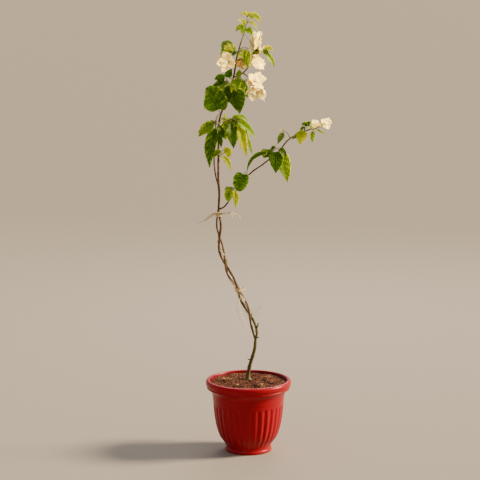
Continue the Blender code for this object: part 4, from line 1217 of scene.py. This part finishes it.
def leaf_outline(s, breadth):
    """Share of a leaf's full width at this share of its blade: drawn to a point, or rounder when broad."""
    drawn = min(1.0, max(0.0, (0.86 - breadth) / 0.2))
    belly = math.sin(math.pi * s ** (0.76 - 0.14 * drawn)) ** (0.42 + 0.38 * drawn)
    return belly * (1 - 0.34 * drawn * s**5)


def leaf_rings(root, reach, width, arch, face, chance):
    """Rings over a leaf's blade, each across its upper side and back along its underside."""
    stalk, _, fold, _ = BLADES["leaf"]
    line = blade_line(root, reach, arch)
    waves, phase = chance.uniform(*LEAF_WAVES), chance.uniform(0, 6.28)
    wavy, twist = chance.uniform(*LEAF_WAVY), chance.uniform(-LEAF_TWIST, LEAF_TWIST)
    sway = chance.uniform(-LEAF_SWAY, LEAF_SWAY) * reach.length
    quilt = 0.35 + 0.012 * reach.length
    lobed = min(1.0, max(0.0, (width / reach.length - 0.62) / 0.2))
    rings = []
    for k in range(LEAF_STATIONS):
        s = 0.006 + 0.99 * (k / (LEAF_STATIONS - 1)) ** 1.06
        t = stalk + (1 - stalk) * s
        ahead, up, across = blade_frame(line, t, face, twist * (s - 0.3))
        half = 0.5 * width * leaf_outline(s, width / reach.length)
        half *= 1 + 0.09 * noise.noise(Vector((s * reach.length / 4.5, phase, wavy)))
        centre = line(t) + sway * math.sin(math.pi * s) * across
        top, below = [], []
        for u in LEAF_ACROSS:
            out = abs(u)
            rise = 1.5 * fold * half * out**1.1
            rise -= (0.30 + 0.10 * (u > 0)) * fold * half * out**4
            vein = math.cos(2 * math.pi * (SIDE_VEINS * s - 1.15 * out * half / max(half, 0.25 * width)))
            rise -= 0.5 * quilt * vein * math.sqrt(out) * (1 - out**4)
            rise += wavy * half * math.sin(waves * 6.28 * s + phase + 1.9 * (u > 0)) * out**3
            middle = max(0.0, 1 - out / 0.2)
            thick = LEAF_THICK * (0.5 - 0.25 * out)
            lobe = (0.06 + 0.26 * lobed) * half * out**2 * (1 - s) ** 3
            spot = centre + half * u * across + rise * up - lobe * ahead
            top.append(spot + (thick - 0.30 * middle * (1 - s)) * up)
            below.append(spot - (thick + 0.45 * middle * (1 - s)) * up)
        rings.append(top + below[-2:0:-1])
    return rings


def leaf_parts(row, place):
    """Which finish a face takes: 0 upper side, 1 midrib, 2 underside, 3 margin."""
    sides = len(LEAF_ACROSS) - 1
    if place >= sides:
        return 2
    if place == sides // 2:
        return 1
    return 3 if place in (0, sides - 1) else 0


gathered = {name: Heap() for name in LEAF_PIECES}
chance = random.Random("leaves")
for kind, *shape, tone in [*(blade for grown in blades.values() for blade in grown), TOP_LEAF]:
    if kind == "leaf":
        name = next(name for name, tones in LEAF_PIECES.items() if tone in tones)
        first = 4 * LEAF_PIECES[name].index(tone)
        gathered[name].add(leaf_rings(*shape, chance), lambda row, place: first + leaf_parts(row, place))
for root, ahead, length, luck in buds:
    for turn in (0.6, 2.9) if luck > 0.4 else (1.5,):
        out = Vector((math.cos(turn + 5 * luck), abs(math.sin(turn + 5 * luck)), 0.5))
        small = length * chance.uniform(0.7, 1.1)
        tip, face = root + 0.9 * length * ahead, UP + 0.3 * FRONT
        rings = leaf_rings(tip, small * out, 0.55 * small, 0.1, face, chance)
        gathered["young_leaves"].add(rings, leaf_parts)
for name, tones in LEAF_PIECES.items():
    finishes = []
    for tone in tones:
        deep, light, midrib, underside, margin, rough, glow = LEAF_TONES[tone]
        # The margin's shade is a painted highlight: a lighter edge standing for sun shining through it.
        for side, first, second, dull, grain in (
            ("upper", deep, light, rough, 0.0012),
            ("midrib", midrib, midrib, rough, 0.0012),
            ("underside", underside, midrib, 0.6, 0.0009),
            ("margin", margin, light, rough, 0.0012),
        ):
            finishes.append(blade_finish(f"{name}_{tone}_{side}", first, second, dull, glow, grain))
    gathered[name].place(name, finishes, list(SPRAYS), "leaf")


# ---- Blossom ----
# Papery bracts, cream with a yellow tinge at the base and along the veins, crinkled and wavy, in loose
# double heads, with slim tubular true flowers that open in a small five-lobed star.

# Two more bracts of the upper right head, too near the others for the solids.
LATE_BRACTS = (
    ("bract", Vector((25, -3, 946)), Vector((-21, -4, 3)), 25, 0.06, Vector((0, -1, 0.3)), "cream"),
    ("bract", Vector((24, -2, 944)), Vector((-15, -4, -17)), 25, 0.06, Vector((-0.2, -1, 0)), "cream"),
)
BRACT_STATIONS = 24
BRACT_ACROSS = (1.0, 0.86, 0.66, 0.44, 0.22, 0.05, -0.05, -0.22, -0.44, -0.66, -0.86, -1.0)
BRACT_THICK = 0.26
BRACT_FOOT = 4
BRACT_WAVES, BRACT_CUP, BRACT_TWIST = (2.2, 3.4), (0.0, 0.28), 0.3
BRACT_GRAIN, FLOWER_GRAIN = 0.0016, 0.0012
TUBE_SIDES, TUBE_BEND, TUBE_STRAY = 20, 0.10, 0.32
TUBE_SHARE = (0.36, 0.52)  # of the bract's length
TUBE_RADII = (0.7, 1.1, 1.35, 1.45, 1.4, 1.25, 1.1, 1.0, 0.95, 0.95, 1.0, 1.15, 1.5)
MOUTH_RINGS = ((2.3, 0.5, 0.7), (3.1, 1.1, 0.9), (2.9, 1.0, 1.25), (1.6, 0.2, 0.9), (0.7, 0, -2.5))


def bract_rings(root, reach, width, arch, face, chance):
    """Rings over a bract: broad, crinkled between its veins, with a wavy margin."""
    stalk, _, fold, _ = BLADES["bract"]
    line = blade_line(root, reach, arch)
    phase, waves = chance.uniform(0, 6.28), chance.uniform(*BRACT_WAVES)
    cup, twist = chance.uniform(*BRACT_CUP), chance.uniform(-BRACT_TWIST, BRACT_TWIST)
    seed = chance.uniform(0, 50)
    rings = []
    for k in range(BRACT_STATIONS):
        s = 0.004 + 0.992 * k / (BRACT_STATIONS - 1)
        t = stalk + (1 - stalk) * s
        _, up, across = blade_frame(line, t, face, twist * (s - 0.3))
        half = 0.5 * width * math.sin(math.pi * s**0.86) ** 0.66 * (1 - 0.22 * s**4)
        top, below = [], []
        for u in BRACT_ACROSS:
            out = abs(u)
            rise = (fold + cup) * half * out**1.3 - 0.10 * half * out**4
            rise += 0.08 * width * math.sin(waves * 6.28 * s + phase + 2.1 * (u > 0)) * out**2.4
            rise += 0.8 * noise.noise(Vector((s * reach.length / 8, u * half / 5, seed))) * min(1, 5 * s)
            rise -= 0.20 * math.cos(2 * math.pi * (5 * s - 0.9 * out)) * math.sqrt(out) * (1 - out**4)
            middle = max(0.0, 1 - out / 0.22)
            thick = BRACT_THICK * (0.5 - 0.2 * out)
            spot = line(t) + half * u * across + rise * up
            top.append(spot + thick * up)
            below.append(spot - (thick + 0.28 * middle * (1 - s)) * up)
        rings.append(top + below[-2:0:-1])
    return rings


def bract_parts(row, place):
    """Which finish a face takes: 0 upper side, 1 midrib and foot, 2 underside, 3 margin."""
    return 1 if row < BRACT_FOOT and place < len(BRACT_ACROSS) - 1 else leaf_parts(row, place)


def tube_flower(start, way, length):
    """Rings of a true flower: a slim waisted tube, a flared mouth with five lobes, and its inside."""
    bend = TUBE_BEND * length * way.orthogonal().normalized()
    route = [start + way * (length * k / 12) + bend * math.sin(math.pi * k / 12) for k in range(13)]
    rings = tube(route, TUBE_RADII, TUBE_SIDES)
    _, side, across = list(frames_along(route))[-1]
    for radius, lobe, ahead in MOUTH_RINGS:
        ring = []
        for k in range(TUBE_SIDES):
            turn = 2 * math.pi * k / TUBE_SIDES
            reach = radius + lobe * math.cos(5 * turn)
            ring.append(route[-1] + ahead * way + reach * (math.cos(turn) * side + math.sin(turn) * across))
        rings.append(ring)
    return rings


# Bracts, thin as paper: cream and half see-through, so they glow from within, with a dull surface. Those at
# the back are painted peach for shade and warm backlight, and the true flowers white on a green-yellow tube.
CREAM, VEIN = ("#FFE488", "#FFF0B2"), "#ECDE7C"
cream_bract = blade_finish("cream_bract", *CREAM, 0.55, 0.5, BRACT_GRAIN)
bract_vein = blade_finish("bract_vein", VEIN, CREAM[0], 0.55, 0.5, BRACT_GRAIN)
bract_back = blade_finish("bract_back", "#FCDC7C", "#FFE89E", 0.6, 0.5, BRACT_GRAIN)
bract_edge = blade_finish("bract_edge", CREAM[0], "#FFECA8", 0.55, 0.5, BRACT_GRAIN)
# Painted light: this peach stands for the back head's shade and the warm light shining through it.
aged_bract = blade_finish("aged_bract", "#E3A650", "#F0C47C", 0.6, 0.6, BRACT_GRAIN)
flower_white = blade_finish("flower_white", "#FAF4DC", "#FFFCF0", 0.5, 0.4, FLOWER_GRAIN)
flower_tube = blade_finish("flower_tube", "#D4D48C", "#E4E2A8", 0.55, 0.4, FLOWER_GRAIN)

chance = random.Random("bracts")
cream, painted_backlight, flowers = Heap(), Heap(), Heap()
for name, grown in [*blades.items(), ("right_upper_blossom", LATE_BRACTS)]:
    for kind, *shape, _ in grown:
        if kind == "bract":
            (painted_backlight if name == "back_blossom" else cream).add(bract_rings(*shape, chance), bract_parts)
heads = [name for name, spray in SPRAYS.items() if "flowers" in spray]
cream_heads = [name for name in heads if name != "back_blossom"]
cream.place("cream_bracts", [cream_bract, bract_vein, bract_back, bract_edge], cream_heads, "bract")
# The back head's bracts take the painted peach of shade and backlight.
painted_backlight.place("aged_bracts", [aged_bract, bract_vein, aged_bract, aged_bract], ["back_blossom"], "bract")

for name in heads:
    route = spray_stems[name]
    for share, middle, axis, length, count, _ in SPRAYS[name]["flowers"]:
        start = place_along(route, share)
        for _ in range(max(1, count // 2)):
            stray = Vector([chance.uniform(-TUBE_STRAY, TUBE_STRAY) for _ in range(3)])
            way = (Vector(axis).normalized() + stray).normalized()
            foot = start + 0.5 * Vector(middle) + 0.10 * length * way
            rings = tube_flower(foot, way, length * chance.uniform(*TUBE_SHARE))
            flowers.add(rings, lambda row, place: int(row >= 11))
flowers.place("tubular_flowers", [flower_tube, flower_white], heads, "bract")

# A small warm panel that lights the blossom alone, so that it glows in the sun while the leaves stay deep.
blossom_panel = new_lamp("blossom_panel", 230.0, "#FFDE86", (1.5, -1.3, 1.6), size=0.5, size_y=0.5)
blossom_alone = bpy.data.collections.new("blossom_alone")
for name in ("cream_bracts", "aged_bracts", "tubular_flowers"):
    blossom_alone.objects.link(bpy.data.objects[name])
blossom_panel.light_linking.receiver_collection = blossom_alone
